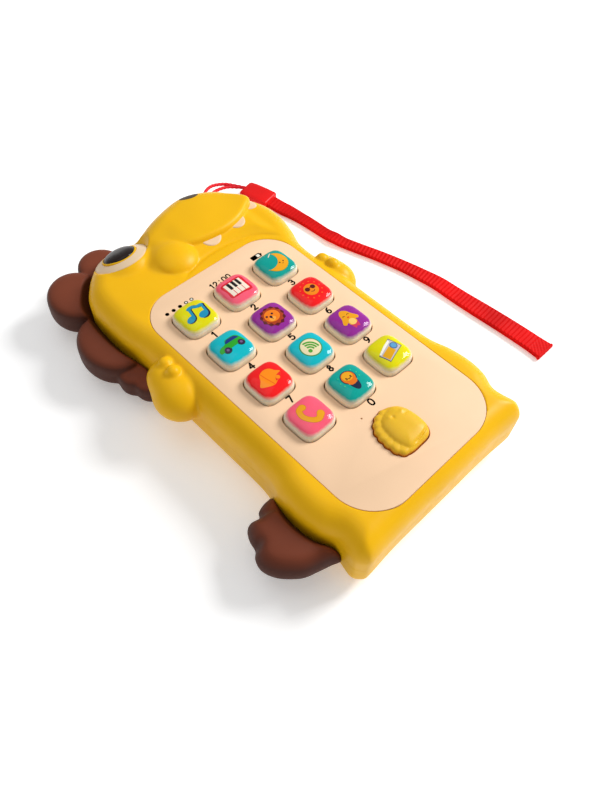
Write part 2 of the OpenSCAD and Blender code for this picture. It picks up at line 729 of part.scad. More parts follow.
// Centre line of the webbing on the table, from the buckle to the folded end
web_line = [[68.35, 82.4], [69.6, 74], [70.3, 62], [71.6, 46], [75.6, 34], [80, 22], [84, 8], [86.6, -6],
    [88.2, -22], [89.4, -38], [90, -50], [90.2, -61]];
function open_curve(p, n) = concat([for (i = [0:len(p) - 2]) for (j = [0:n - 1])
    curve_at(p[max(i - 1, 0)], p[i], p[i + 1], p[min(i + 2, len(p) - 1)], j / n)], [p[len(p) - 1]]);
web_pts = open_curve(web_line, 3);
function web_normal(i) = let (a = web_pts[max(i - 1, 0)], b = web_pts[min(i + 1, len(web_pts) - 1)],
    t = unit(b - a)) [-t[1], t[0]];
module strap_webbing() {
    n = len(web_pts);
    side_a = [for (i = [0:n - 1]) web_pts[i] + web_normal(i) * web_w / 2];
    side_b = [for (i = [n - 1:-1:0]) web_pts[i] - web_normal(i) * web_w / 2];
    color("red") translate([0, 0, web_z]) linear_extrude(2 * web_t + 0.3) polygon(concat(side_a, side_b));
}

front_shell();
rear_shell();
face_panel();
home_key();
key_body(0, 0);  // key_music
key_body(1, 0);  // key_piano
key_body(2, 0);  // key_moon
key_body(0, 1);  // key_1
key_body(1, 1);  // key_2
key_body(2, 1);  // key_3
key_body(0, 2);  // key_4
key_body(1, 2);  // key_5
key_body(2, 2);  // key_6
key_body(0, 3);  // key_7
key_body(1, 3);  // key_8
key_body(2, 3);  // key_9
key_dome(0, 0, "gold");  // dome_music
key_dome(1, 0, "hotpink");  // dome_piano
key_dome(2, 0, "lightseagreen");  // dome_moon
key_dome(0, 1, "deepskyblue");  // dome_1
key_dome(1, 1, "purple");  // dome_2
key_dome(2, 1, "red");  // dome_3
key_dome(0, 2, "red");  // dome_4
key_dome(1, 2, "deepskyblue");  // dome_5
key_dome(2, 2, "purple");  // dome_6
key_dome(0, 3, "hotpink");  // dome_7
key_dome(1, 3, "lightseagreen");  // dome_8
key_dome(2, 3, "gold");  // dome_9
eye_ring();
eye_pupil();
teeth();
mane();
tail();
keypad_membrane();
circuit_board();
sound_chip();
key_leds();
speaker_basket();
speaker_cone();
speaker_magnet();
battery_cells();
battery_springs();
battery_plates();
battery_door();
door_screw();
switch_body();
switch_knob();
case_screws();
board_screws();
speaker_wires();
battery_wires();
strap_cord();
strap_buckle();
strap_webbing();
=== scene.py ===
import math

import bmesh
import bpy
import numpy as np
from mathutils import Matrix, Vector


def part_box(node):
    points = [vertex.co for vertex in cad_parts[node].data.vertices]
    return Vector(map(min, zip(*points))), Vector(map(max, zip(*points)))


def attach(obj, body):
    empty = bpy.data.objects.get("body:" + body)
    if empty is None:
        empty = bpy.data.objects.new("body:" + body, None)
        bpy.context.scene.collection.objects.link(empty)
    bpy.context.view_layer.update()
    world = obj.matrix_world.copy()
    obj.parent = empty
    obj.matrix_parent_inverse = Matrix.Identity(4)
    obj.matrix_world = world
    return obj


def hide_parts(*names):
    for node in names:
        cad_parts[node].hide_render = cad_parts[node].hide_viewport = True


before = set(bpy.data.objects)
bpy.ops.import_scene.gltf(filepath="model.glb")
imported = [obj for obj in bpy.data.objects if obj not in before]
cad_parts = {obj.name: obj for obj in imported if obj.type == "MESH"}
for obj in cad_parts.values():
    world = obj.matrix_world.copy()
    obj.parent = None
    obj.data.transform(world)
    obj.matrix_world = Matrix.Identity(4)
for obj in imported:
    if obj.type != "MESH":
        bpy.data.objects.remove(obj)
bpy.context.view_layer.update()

MM = 0.001                             # lengths are in millimetres and are scaled when a mesh is made
STEP = 0.62     # grid step of the moulded forms


def unit(v):
    return np.asarray(v, float) / np.linalg.norm(v)


# ---------- places taken from the CAD frame ----------

def node_box(node):
    """Lowest and highest corner of a CAD node, in millimetres."""
    low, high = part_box(node)
    return np.array(low) / MM, np.array(high) / MM


def node_middle(node):
    low, high = node_box(node)
    return (low + high) / 2


PANEL_LOW, PANEL_HIGH = node_box("face_panel")
DOOR_LOW, DOOR_HIGH = node_box("battery_door")
FACE_Z = PANEL_HIGH[2]                 # height of the key face
SEAM_Z = node_box("rear_shell")[1][2]  # height of the joint between the two shells
SPEAKER_Y = node_middle("speaker_magnet")[1]
SWITCH_Y = node_middle("switch_body")[1]
KEYS = ["music", "piano", "moon", "1", "2", "3", "4", "5", "6", "7", "8", "9"]
KEY_AT = {key: node_middle("key_" + key)[:2] for key in KEYS}
DOME_BOX_LOW, DOME_BOX_HIGH = node_box("dome_1")
DOME_LOW, DOME_HIGH = DOME_BOX_LOW[2], DOME_BOX_HIGH[2]
KEY_SIDE = DOME_BOX_HIGH[0] - DOME_BOX_LOW[0] + 0.4     # the key body stands a little past its dome
HOME = node_middle("home_key")
HOME_HIGH = node_box("home_key")[1][2]

# ---------- sizes of the moulded form ----------

FOOT_Y = PANEL_LOW[1] - 4.6            # lower edge of the body
WAIST = 41.7                           # half width of the waist
HIP = 3.6                              # extra half width at the hips
WALL = 2.2                             # shell wall
FACE_ROUND = 8.5                       # radius of the edge towards the key face
BACK_ROUND = 9.0                       # radius of the edge towards the back
SEAM_GAP = 0.06                        # half of the fine line between the two shells
KEY_GAP = 0.35                         # round a key in its well
EYE = np.array([-18.1, 65.1, 2.5])     # centre of the ball whose cap is the eye
EYE_R = 28.0                           # radius of that ball
EYE_DIR = unit([-0.072, 0.467, 0.881])
PUPIL_R, RIM_R, RING_R = 6.7, 7.4, 11.2  # pupil, thin rim and cream ring, from the eye's axis
EYE_RIM = 12.0                         # swelling that carries the eye, from the same axis
JAW_RISE = 3.4                         # the snout's lip above the key face
JAW_CROWN = 0.5                        # and its middle above the lip
CHEEK = (-5.3, 61.6, 26.0)             # middle of the cheek
CORD_Z = 12.0                          # height of the cord round its post
POST = np.array([30.5, 81.5, CORD_Z])  # post that the strap cord loops round
MIC = (-6.7, -41.3)                    # pinhole in the face panel
SCREWS = [(-35, -66), (35, -66), (-35.4, -20), (35.4, -20), (-34.8, 50), (38, 50)]
# Teeth: x, y, half width, length and lean in degrees
TEETH = [(12.3, 58.9, 4.5, 3.2, 1), (26.2, 60.0, 4.3, 3.6, 8), (38.0, 65.8, 3.5, 3.6, 32)]


# ---------- curves and plane shapes ----------

def catmull(points, steps, closed=True):
    """Smooth curve through the points."""
    p = np.array(points, float)
    t = np.arange(steps)[:, None] / steps
    out = []
    for i in range(len(p) if closed else len(p) - 1):
        near = np.arange(i - 1, i + 3)
        a, b, c, d = p[near % len(p) if closed else near.clip(0, len(p) - 1)]
        out.append(0.5 * (2 * b + (c - a) * t + (2 * a - 5 * b + 4 * c - d) * t ** 2
                          + (3 * b - a - 3 * c + d) * t ** 3))
    if not closed:
        out.append(p[-1:])
    return np.concatenate(out)


def arc(cx, cy, r, a0, a1, count):
    a = np.radians(np.linspace(a0, a1, count))
    return np.stack([cx + r * np.cos(a), cy + r * np.sin(a)], 1)


def squircle(cx, cy, half, power=3.8, count=64):
    """Soft square of the given half side."""
    a = np.linspace(0, 2 * np.pi, count, endpoint=False)
    c, s = np.cos(a), np.sin(a)
    r = half / (np.abs(c) ** power + np.abs(s) ** power) ** (1 / power)
    return np.stack([cx + r * c, cy + r * s], 1)


def ring_distance(x, y, ring):
    """Signed distance from points to a closed ring, negative inside."""
    best = np.full(np.shape(x), 1e9)
    inside = np.zeros(np.shape(x), bool)
    for a, b in zip(ring, np.roll(ring, -1, 0)):
        ex, ey = b - a
        px, py = x - a[0], y - a[1]
        t = np.clip((px * ex + py * ey) / (ex * ex + ey * ey), 0, 1)
        best = np.minimum(best, (px - ex * t) ** 2 + (py - ey * t) ** 2)
        straddles = (a[1] > y) != (b[1] > y)
        inside ^= straddles & (px < ex * py / (ey if abs(ey) > 1e-9 else 1e-9))
    return np.where(inside, -1.0, 1.0) * np.sqrt(best)


class PlaneMap:
    """A function of x and y kept on a grid and read back smoothly."""

    def __init__(self, function, low, high, step, blur=0):
        self.low, self.step = np.array(low, float), step
        xs = np.arange(low[0], high[0] + step, step)
        ys = np.arange(low[1], high[1] + step, step)
        v = function(*np.meshgrid(xs, ys, indexing="ij"))
        for _ in range(blur):
            for axis in (0, 1):
                v = (np.roll(v, 1, axis) + 2 * v + np.roll(v, -1, axis)) / 4
        self.v = v

    def __call__(self, x, y):
        u = np.clip((x - self.low[0]) / self.step, 0, self.v.shape[0] - 1.001)
        w = np.clip((y - self.low[1]) / self.step, 0, self.v.shape[1] - 1.001)
        u, w = np.broadcast_arrays(u, w)
        i, j = u.astype(int), w.astype(int)
        s, t = u - i, w - j
        v = self.v
        return ((v[i, j] * (1 - s) + v[i + 1, j] * s) * (1 - t)
                + (v[i, j + 1] * (1 - s) + v[i + 1, j + 1] * s) * t)


def ease(low, high, v):
    t = np.clip((v - low) / (high - low), 0, 1)
    return t * t * (3 - 2 * t)


def soft_min(a, b, k):
    h = np.clip(0.5 + 0.5 * (b - a) / k, 0, 1)
    return b + (a - b) * h - k * h * (1 - h)


def soft_max(a, b, k):
    return -soft_min(-a, -b, k)


def ellipsoid(x, y, z, centre, radii):
    """Rough signed distance to an ellipsoid."""
    qx, qy, qz = (x - centre[0]) / radii[0], (y - centre[1]) / radii[1], (z - centre[2]) / radii[2]
    length = np.sqrt(qx ** 2 + qy ** 2 + qz ** 2) + 1e-9
    slope = np.sqrt((qx / radii[0]) ** 2 + (qy / radii[1]) ** 2 + (qz / radii[2]) ** 2) + 1e-9
    return length * (length - 1) / slope


def rolled(d, height, r):
    """Signed distance to a corner of radius r between a wall at d = 0 and a plane at height = 0."""
    a, b = d + r, height + r
    return np.hypot(np.maximum(a, 0), np.maximum(b, 0)) - r + np.minimum(np.maximum(a, b), 0)


# ---------- the moulded body as a field, negative inside ----------

SIDE = np.concatenate([
    arc(WAIST - 4.1, FOOT_Y + 4.2, 5, -80, 0, 4),
    [[WAIST - 0.3, -64], [WAIST + 0.7 * HIP, -57.5], [WAIST + HIP, -50], [WAIST + 0.75 * HIP, -41],
     [WAIST + 0.3, -31], [WAIST, -8], [WAIST, 14], [WAIST - 0.3, 34]]])
HEAD_EDGE = np.array([
    [WAIST + 3.4, 45], [WAIST + 5.6, 54], [WAIST + 5, 64.5], [40.2, 77.6], [31, 86.2], [17.5, 90], [4, 87.4],
    [-6.4, 83.2], [-14.7, 81.2], [-22.5, 83.2], [-32, 80], [-38.2, 74], [-41.8, 68], [-43.2, 59],
    [-WAIST - 1.5, 46]])
OUTLINE = catmull(np.concatenate([
    [[0, FOOT_Y], [24, FOOT_Y]], SIDE, HEAD_EDGE, SIDE[::-1] * [-1, 1], [[-24, FOOT_Y]]]), 8)
outline_map = PlaneMap(lambda x, y: ring_distance(x, y, OUTLINE), (-60, -86), (60, 100), 0.5, blur=3)

LIP = [[39.8, 67.2], [34, 62.3], [28, 59.5], [20.7, 58.1], [12, 58.6], [5, 60], [-2, 63], [-9, 68.5]]
JAW = catmull(LIP + [[-13, 76], [-5, 81.6], [4.2, 85.4], [17.3, 88], [28, 84.8], [36.4, 77.5]], 8)
jaw_map = PlaneMap(lambda x, y: ring_distance(x, y, JAW), (-40, 40), (60, 100), 0.5, blur=1)


def chin_line(x):
    return 53.6 - 0.0088 * (x - 9) ** 2 - 0.00001 * (x - 9) ** 4


def face_height(x, y):
    """Height of the key face side: flat round the panel, with a groove and a swelling on the lower jaw."""
    above = y - chin_line(x)
    along = ease(-12, -3, x) * (1 - ease(31, 37, x))
    groove = -0.55 * np.exp(-(above / 0.9) ** 2) * along
    swelling = 1.1 * ease(0.5, 7, above) * along
    return FACE_Z + groove + swelling


# Arms, left and right: palm and wrist, each as centre and radii
ARMS = {-1: (((-42, 13.2, 18.5), (9.8, 10.2, 8.6)), ((-41.6, 21.2, 20.5), (7.0, 6.9, 6.0))),
        1: (((40.8, 14.4, 18.5), (7.2, 8.2, 8.6)), ((40.4, 20.6, 20.9), (5.8, 6.4, 6.0)))}
FINGERS = ((39.9, 22.9, 25.4, 2.8), (40.5, 17.6, 26.3, 2.7))   # distance from the middle, y, z and radius


def arm_field(x, y, z, side):
    palm, wrist = (ellipsoid(x, y, z, *part) for part in ARMS[side])
    fist = soft_min(palm, wrist, 3.0)
    for reach, along, height, r in FINGERS:
        fist = soft_min(fist, ellipsoid(x, y, z, (side * reach, along, height), (r, r, r)), 1.1)
    return fist


def eye_polar(x, y, z):
    """Distance from the axis of the eye, and from the middle of its ball (large behind the ball)."""
    offset = x - EYE[0], y - EYE[1], z - EYE[2]
    along = sum(a * b for a, b in zip(offset, EYE_DIR))
    reach = np.sqrt(sum(a ** 2 for a in offset))
    away = np.sqrt(np.maximum(reach ** 2 - along ** 2, 0))
    return np.where(along > 8, away, 99.0), reach


def body_field(x, y, z):
    d = outline_map(x, y)
    body = np.maximum(rolled(d, z - face_height(x, y), FACE_ROUND), rolled(d, -z, BACK_ROUND))
    # snout: a raised field with a crisp lip that fades out towards the eye
    inside_jaw = jaw_map(x, y)
    rise = ease(-16, 6, x)
    edge = 2.3 + 5.0 * ease(66, 77, y)
    jaw_top = FACE_Z + JAW_RISE * rise + JAW_CROWN * ease(18, 0, np.hypot(x - 16, y - 74))
    jaw = np.maximum(rolled(inside_jaw, z - jaw_top, edge), 14 - z)
    body = soft_min(body, jaw, 0.7 + 2.6 * (1 - rise) + 1.5 * ease(66, 76, y))
    # low round swelling that carries the eye, cut down to the eye's ball except for the thin rim
    away, reach = eye_polar(x, y, z)
    body = soft_min(body, rolled(away - EYE_RIM, reach - EYE_R, 1.6), 2.4)
    dish = reach - EYE_R - 0.04 - 1.3 * np.maximum(away - RING_R - 0.2, 0)
    dish = dish - 0.4 * np.clip((RIM_R + 0.2 - away) / 0.2, 0, 1)
    body = np.where((reach > EYE_R - 6) & (away < RING_R + 9), soft_max(body, dish, 0.25), body)
    # cheek: a clear edge towards the mouth, none towards the eye
    towards_eye = (y - CHEEK[1] - x + CHEEK[0]) / 1.41
    body = soft_min(body, ellipsoid(x, y, z, CHEEK, (10.4, 10.4, 6.0)), 0.5 + 1.9 * ease(0, 9, towards_eye))
    arms = np.minimum(arm_field(x, y, z, -1), arm_field(x, y, z, 1))
    return soft_min(body, arms, 1.0)


# ---------- turning a field into a mesh ----------

def settle(points, field, limit, rounds=4):
    """Moves points onto the field's zero surface."""
    e = 0.03
    for _ in range(rounds):
        x, y, z = points.T
        f = field(x, y, z)
        g = np.stack([field(x + e, y, z) - field(x - e, y, z), field(x, y + e, z) - field(x, y - e, z),
                      field(x, y, z + e) - field(x, y, z - e)], 1) / (2 * e)
        steep = np.maximum((g * g).sum(1), 0.05)
        points = points - (np.clip(f / steep, -limit, limit))[:, None] * g
    return points


def surface_net(field, low, high, step):
    """Vertices and quads of the field's zero surface, one vertex in each grid cell that it crosses."""
    axes = [np.arange(a, b + step, step) for a, b in zip(low, high)]
    v = field(*np.meshgrid(*axes, indexing="ij", sparse=True))
    inside = v < 0
    size = np.array(v.shape) - 1
    filled = sum(inside[i:size[0] + i, j:size[1] + j, k:size[2] + k].astype(np.int8)
                 for i in (0, 1) for j in (0, 1) for k in (0, 1))
    cells = np.argwhere((filled > 0) & (filled < 8))
    total, count = np.zeros((len(cells), 3)), np.zeros(len(cells))
    for axis in range(3):
        along = np.eye(3, dtype=int)[axis]
        for pair in ((0, 0), (0, 1), (1, 0), (1, 1)):
            start = np.insert(pair, axis, 0)
            v0, v1 = v[tuple((cells + start).T)], v[tuple((cells + start + along).T)]
            crosses = (v0 < 0) != (v1 < 0)
            t = np.where(crosses, v0 / np.where(crosses, v0 - v1, 1), 0)
            total += (start + t[:, None] * along) * crosses[:, None]
            count += crosses
    points = (cells + total / count[:, None]) * step + np.array(low, float)
    number = np.full(size, -1, np.int64)
    number[tuple(cells.T)] = np.arange(len(cells))
    quads = []
    for axis in range(3):
        u, w = (axis + 1) % 3, (axis + 2) % 3
        edges = np.argwhere(np.diff(inside, axis=axis))
        within = (edges[:, u] > 0) & (edges[:, w] > 0) & (edges[:, u] < size[u]) & (edges[:, w] < size[w])
        edges = edges[within]
        corners = []
        for du, dw in ((1, 1), (0, 1), (0, 0), (1, 0)):
            shift = np.zeros(3, int)
            shift[[u, w]] = du, dw
            corners.append(number[tuple((edges - shift).T)])
        quad = np.stack(corners, 1)
        outward = inside[tuple(edges.T)]
        quad[~outward] = quad[~outward][:, ::-1]
        quads.append(quad)
    return settle(points, field, 0.5 * step), np.concatenate(quads)


# ---------- meshes ----------

def make_mesh(name, points, faces):
    mesh = bpy.data.meshes.new(name)
    mesh.from_pydata((np.asarray(points) * MM).tolist(), [], [list(map(int, f)) for f in faces])
    mesh.validate()
    return mesh


def place(name, mesh, material, body, replaces=(), sharp=None):
    """Puts a mesh in the scene as a piece of the object."""
    piece = bpy.data.objects.new(name, mesh)
    bpy.context.scene.collection.objects.link(piece)
    mesh.shade_smooth()
    if sharp:
        mesh.set_sharp_from_angle(angle=math.radians(sharp))
    for m in (material if isinstance(material, list) else [material]):
        mesh.materials.append(m)
    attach(piece, body)
    if replaces:
        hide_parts(*replaces)
    return piece


def loft(rings):
    """Points and faces of a closed form through rings of equal count, from the bottom up, anticlockwise."""
    n = len(rings[0])
    points = np.concatenate([np.asarray(r, float) for r in rings])
    faces = [(k * n + i, k * n + (i + 1) % n, (k + 1) * n + (i + 1) % n, (k + 1) * n + i)
             for k in range(len(rings) - 1) for i in range(n)]
    faces.append(tuple(range(n - 1, -1, -1)))
    faces.append(tuple((len(rings) - 1) * n + i for i in range(n)))
    return points, faces


def at_height(ring, z):
    return np.column_stack([ring, np.full(len(ring), float(z))])


def prism(ring, z0, z1):
    return loft([at_height(ring, z0), at_height(ring, z1)])


def peg(x, y, r, z0, z1, count=24):
    """Round prism."""
    return prism(arc(x, y, r, 0, 360 - 360 / count, count), z0, z1)


def block(x0, x1, y0, y1, z0, z1):
    return prism([[x0, y0], [x1, y0], [x1, y1], [x0, y1]], z0, z1)


def rounded_ring(x0, x1, y0, y1, r, count=8):
    return np.concatenate([arc(x1 - r, y0 + r, r, -90, 0, count), arc(x1 - r, y1 - r, r, 0, 90, count),
                           arc(x0 + r, y1 - r, r, 90, 180, count), arc(x0 + r, y0 + r, r, 180, 270, count)])


def merged(*parts):
    """Several (points, faces) as one."""
    points, faces, start = [], [], 0
    for p, f in parts:
        points.append(p)
        faces += [tuple(i + start for i in face) for face in f]
        start += len(p)
    return np.concatenate(points), faces


def clean(points, faces):
    """Merges points that fall together, such as a pole, and drops faces without area."""
    mesh = make_mesh("tmp", points, faces)
    bm = bmesh.new()
    bm.from_mesh(mesh)
    bmesh.ops.remove_doubles(bm, verts=bm.verts, dist=1e-7)
    bmesh.ops.recalc_face_normals(bm, faces=bm.faces)
    bm.verts.index_update()
    out = np.array([v.co for v in bm.verts]) / MM, [tuple(v.index for v in f.verts) for f in bm.faces]
    bm.free()
    bpy.data.meshes.remove(mesh)
    return out


def turned(profile, count=96):
    """Closed solid of revolution of (radius, height) points about the axis of the eye. The profile runs from
    its inner end to its outer end the long way round, and may start and end on the axis."""
    u = unit(np.cross(EYE_DIR, [0, 0, 1.0]))
    w = np.cross(EYE_DIR, u)
    a = np.linspace(0, 2 * np.pi, count, endpoint=False)
    around = np.outer(np.cos(a), u) + np.outer(np.sin(a), w)
    points = [EYE + h * EYE_DIR + r * around for r, h in profile]
    faces = []
    for k in range(len(profile)):
        after = (k + 1) % len(profile)
        for i in range(count):
            j = (i + 1) % count
            faces.append((k * count + i, k * count + j, after * count + j, after * count + i))
    return clean(np.concatenate(points), faces)


def cap_profile(radius, r0, r1, count):
    """Points (radius, height) on a sphere between two distances from the axis."""
    phi = np.linspace(math.asin(r0 / radius), math.asin(r1 / radius), count)
    return [(radius * math.sin(p), radius * math.cos(p)) for p in phi]


def cut_away(mesh, cutters):
    """A new mesh: the given one less the closed cutters, each (points, faces)."""
    base = bpy.data.objects.new("base", mesh)
    bpy.context.scene.collection.objects.link(base)
    for points, faces in cutters:
        tool = bpy.data.objects.new("tool", make_mesh("tool", points, faces))
        bpy.context.scene.collection.objects.link(tool)
        modifier = base.modifiers.new("cut", "BOOLEAN")
        modifier.operation = "DIFFERENCE"
        modifier.solver = "MANIFOLD"
        modifier.object = tool
        tool.hide_render = True
    bpy.context.view_layer.update()
    result = bpy.data.meshes.new_from_object(base.evaluated_get(bpy.context.evaluated_depsgraph_get()))
    for modifier in list(base.modifiers):
        bpy.data.objects.remove(modifier.object)
    bpy.data.objects.remove(base)
    result.materials.clear()
    return result


# ---------- materials ----------

def linear(r, g, b):
    """Scene-linear colour of a screen colour given as 0 to 255."""
    return tuple(((c / 255) / 12.92 if c / 255 <= 0.04045 else ((c / 255 + 0.055) / 1.055) ** 2.4)
                 for c in (r, g, b)) + (1.0,)


def shaded(colour, share):
    return tuple(c * share for c in colour[:3]) + (1.0,)


class Nodes:
    """A material's node tree with short calls for the nodes used here."""

    def __init__(self, name):
        self.material = bpy.data.materials.new(name)
        self.material.use_nodes = True
        self.tree = self.material.node_tree
        self.shader = self.tree.nodes["Principled BSDF"]
        self.place = self.tree.nodes.new("ShaderNodeTexCoord").outputs["Object"]

    def link(self, a, b):
        self.tree.links.new(a, b)

    def put(self, socket, value):
        if hasattr(value, "is_output"):
            self.link(value, socket)
        else:
            socket.default_value = value

    def noise(self, scale, detail=3.0, rough=0.5):
        node = self.tree.nodes.new("ShaderNodeTexNoise")
        node.inputs["Scale"].default_value = scale
        node.inputs["Detail"].default_value = detail
        node.inputs["Roughness"].default_value = rough
        self.link(self.place, node.inputs["Vector"])
        return node.outputs["Fac"]

    def remap(self, value, a, b, c, d):
        node = self.tree.nodes.new("ShaderNodeMapRange")
        for i, v in enumerate((value, a, b, c, d)):
            self.put(node.inputs[i], v)
        return node.outputs[0]

    def math(self, kind, a, b=0.0):
        node = self.tree.nodes.new("ShaderNodeMath")
        node.operation = kind
        self.put(node.inputs[0], a)
        self.put(node.inputs[1], b)
        return node.outputs[0]

    def mix(self, share, a, b):
        node = self.tree.nodes.new("ShaderNodeMix")
        node.data_type = "RGBA"
        for i, value in ((0, share), (6, a), (7, b)):   # the colour sockets of a Mix node
            self.put(node.inputs[i], value)
        return node.outputs[2]

    def axis(self, letter):
        node = self.tree.nodes.new("ShaderNodeSeparateXYZ")
        self.link(self.place, node.inputs[0])
        return node.outputs[letter]

    def bump(self, height, strength, distance):
        node = self.tree.nodes.new("ShaderNodeBump")
        node.inputs["Strength"].default_value = strength
        node.inputs["Distance"].default_value = distance * MM
        self.link(height, node.inputs["Height"])
        self.link(node.outputs[0], self.shader.inputs["Normal"])

    def set(self, **inputs):
        for name, value in inputs.items():
            self.put(self.shader.inputs[name.replace("_", " ")], value)


def moulded(name, colour, rough=0.42, shade=0.9, grain=0.25, grain_scale=1500, coat=0.0, glow=0.0, shine=0.5,
            painted_side_shade=1.0, foot=None):
    """Moulded plastic: slow colour drift, fine grain in the surface, and uneven gloss. The side shade
    argument paints shade onto what faces sideways, and foot paints shade near the bottom: a second colour
    that fades out between two heights."""
    n = Nodes(name)
    base = linear(*colour)
    paint = n.mix(n.remap(n.noise(35, 2.0), 0.35, 0.65, 0.0, 1.0), shaded(base, shade), base)
    # painted shade: what faces sideways is darkened, as if turned away from the light
    if painted_side_shade < 1:
        upward = n.tree.nodes.new("ShaderNodeSeparateXYZ")
        n.link(n.tree.nodes.new("ShaderNodeNewGeometry").outputs["Normal"], upward.inputs[0])
        paint = n.mix(n.remap(upward.outputs["Z"], 0.45, 0.93, 0.0, 1.0), shaded(base, painted_side_shade), paint)
    # painted shade: a second colour low on the piece that fades out upwards
    if foot:
        painted_shade_colour, low, high = foot
        paint = n.mix(n.remap(n.axis("Z"), low * MM, high * MM, 0.0, 1.0), linear(*painted_shade_colour), paint)
    n.set(Base_Color=paint, Specular_IOR_Level=shine,
          Roughness=n.remap(n.noise(260, 4.0), 0.3, 0.7, rough - 0.05, rough + 0.06))
    if grain:
        n.bump(n.noise(grain_scale, 2.0), grain, 0.03)
    if coat:
        n.set(Coat_Weight=coat, Coat_Roughness=0.06)
    if glow:
        n.set(Subsurface_Weight=glow, Subsurface_Scale=2.0 * MM, Subsurface_Radius=(1.0, 0.6, 0.35))
    return n.material


SHELL = moulded("shell_yellow", (244, 186, 10), rough=0.38, shine=0.18, shade=0.94, grain=0.15, glow=0.06)
PANEL = moulded("panel_cream", (248, 210, 172), rough=0.6, shine=0.15, shade=0.96, grain=0.5,
                grain_scale=2200)
KEY_CREAM = moulded("key_cream", (240, 226, 200), rough=0.3, shine=0.35, shade=0.95, grain=0.08, glow=0.3)
# foot: painted orange-brown shade low on the home key, where it meets the face panel
HOME_YELLOW = moulded("home_yellow", (238, 188, 36), rough=0.4, shine=0.3, shade=0.9, grain=0.12, glow=0.1,
                      foot=((206, 118, 20), FACE_Z + 0.2, FACE_Z + 1.1))
EYE_CREAM = moulded("eye_cream", (236, 208, 172), rough=0.4, shine=0.2, shade=0.95, grain=0.15)
EYE_BLACK = moulded("eye_black", (38, 28, 26), rough=0.3, shine=0.1, shade=0.7, grain=0.03, coat=0.15)
TOOTH = moulded("tooth_cream", (238, 205, 170), rough=0.45, shine=0.2, shade=0.94, grain=0.2)
# side shade: painted shade, so the brown lobes are darker where they face sideways
SOFT_BROWN = moulded("soft_brown", (126, 62, 40), rough=0.55, shine=0.2, shade=0.88, painted_side_shade=0.34,
                     grain=0.3, grain_scale=900)
NOSTRIL = moulded("nostril_paint", (84, 70, 56), rough=0.55, shade=0.85, grain=0.3)
PRINT_INK = moulded("print_ink", (26, 20, 22), rough=0.5, shade=0.8, grain=0.2)
PRINT_WHITE = moulded("print_white", (240, 236, 220), rough=0.5, shade=0.95, grain=0.2)
BUCKLE_RED = moulded("buckle_red", (232, 20, 20), rough=0.38, shine=0.2, shade=0.9, grain=0.2)
STRAP_RED = moulded("strap_thread", (230, 20, 20), rough=0.6, shine=0.08, shade=0.72, grain=0.5,
                    grain_scale=1400)
CORD_RED = moulded("cord_thread", (222, 30, 44), rough=0.5, shine=0.15, shade=0.8, grain=0.4,
                   grain_scale=1800)


# ---------- shells ----------

def inset(ring, d):
    """The ring moved inwards by d, towards the middle line of the body."""
    target = np.column_stack([np.zeros(len(ring)), np.clip(ring[:, 1], FOOT_Y + 28, 56)])
    step = target - ring
    return ring + d * step / np.linalg.norm(step, axis=1)[:, None]


def cavity():
    """Hollow between the shells, with rounded edges."""
    deck = FACE_Z - 3.8
    quarter = np.radians(np.linspace(0, 90, 5))
    low, high = BACK_ROUND - WALL, FACE_ROUND - WALL
    ring = OUTLINE[::3]
    return loft([at_height(inset(ring, WALL + low * (1 - math.sin(a))), WALL + low * (1 - math.cos(a)))
                 for a in quarter]
                + [at_height(inset(ring, WALL + high * (1 - math.cos(a))), deck - high * (1 - math.sin(a)))
                   for a in quarter])


def panel_ring(grow):
    """Outline of the face panel: larger corners at the foot than at the head."""
    half = (PANEL_HIGH[0] - PANEL_LOW[0]) / 2 + grow
    foot, head = PANEL_LOW[1] - grow, PANEL_HIGH[1] + grow
    return np.concatenate([
        arc(half - 16, foot + 16, 16, -90, 0, 14), arc(half - 14, head - 14, 14, 0, 90, 14),
        arc(14 - half, head - 14, 14, 90, 180, 14), arc(16 - half, foot + 16, 16, 180, 270, 14)])


def scallop(turn):
    """Rounded locks of the home key's mane, from 0 to 1 round the key."""
    return np.abs(np.sin(np.radians(9 * (turn - 80))))


HOME_POINTS = [(8.1, 0.3), (7.4, 4.3), (5.6, 6.9), (2, 8.6), (-2.2, 8.4), (-5.3, 6.8), (-7.4, 4.1),
               (-8.2, 0.8), (-8.2, -3.2), (-7.4, -6.5), (-4.4, -8.6), (0.4, -8.8), (5, -8.4), (7.4, -6.2),
               (8.1, -3.2)]


def home_ring(grow=0.0):
    """Home key outline: a blunt animal head with a scalloped mane along its left side."""
    p = catmull(HOME_POINTS, 12)
    t = np.arctan2(p[:, 1], p[:, 0])
    turn = np.degrees(t) % 360
    mane = ease(74, 86, turn) * (1 - ease(232, 246, turn))
    r = np.hypot(p[:, 0], p[:, 1]) + grow + 0.5 * mane * scallop(turn)
    return np.column_stack([HOME[0] + r * np.cos(t), HOME[1] + r * np.sin(t)])


def flared(ring_at, z0, z1, flare):
    """Cutter with straight walls up to z1 and a small chamfer above."""
    return loft([at_height(ring_at(0), z0), at_height(ring_at(0), z1 - flare), at_height(ring_at(flare), z1),
                 at_height(ring_at(flare * 2), z1 + flare)])


def key_cutters(z0, z1, flare):
    cuts = [flared(lambda g, c=c: squircle(c[0], c[1], KEY_SIDE / 2 + KEY_GAP + g, 4.2), z0, z1, flare)
            for c in KEY_AT.values()]
    cuts.append(flared(lambda g: home_ring(KEY_GAP + g), z0, z1, flare))
    cuts.append(peg(*MIC, 0.36, z0, z1 + 1))
    return cuts


def eye_cutters():
    """Seats of the pupil and of the ring, with the thin rim left between them."""
    wide = PUPIL_R + 0.12
    pupil = cap_profile(EYE_R + 3, 0.01, wide, 6) + [(wide, EYE_R - 3.6), (0.01, EYE_R - 3.6)]
    ring_seat = cap_profile(EYE_R - 0.7, RIM_R, RING_R + 0.08, 8)
    return [turned(pupil), turned([(RIM_R, EYE_R + 2), (RING_R + 0.08, EYE_R + 2)] + ring_seat[::-1])]


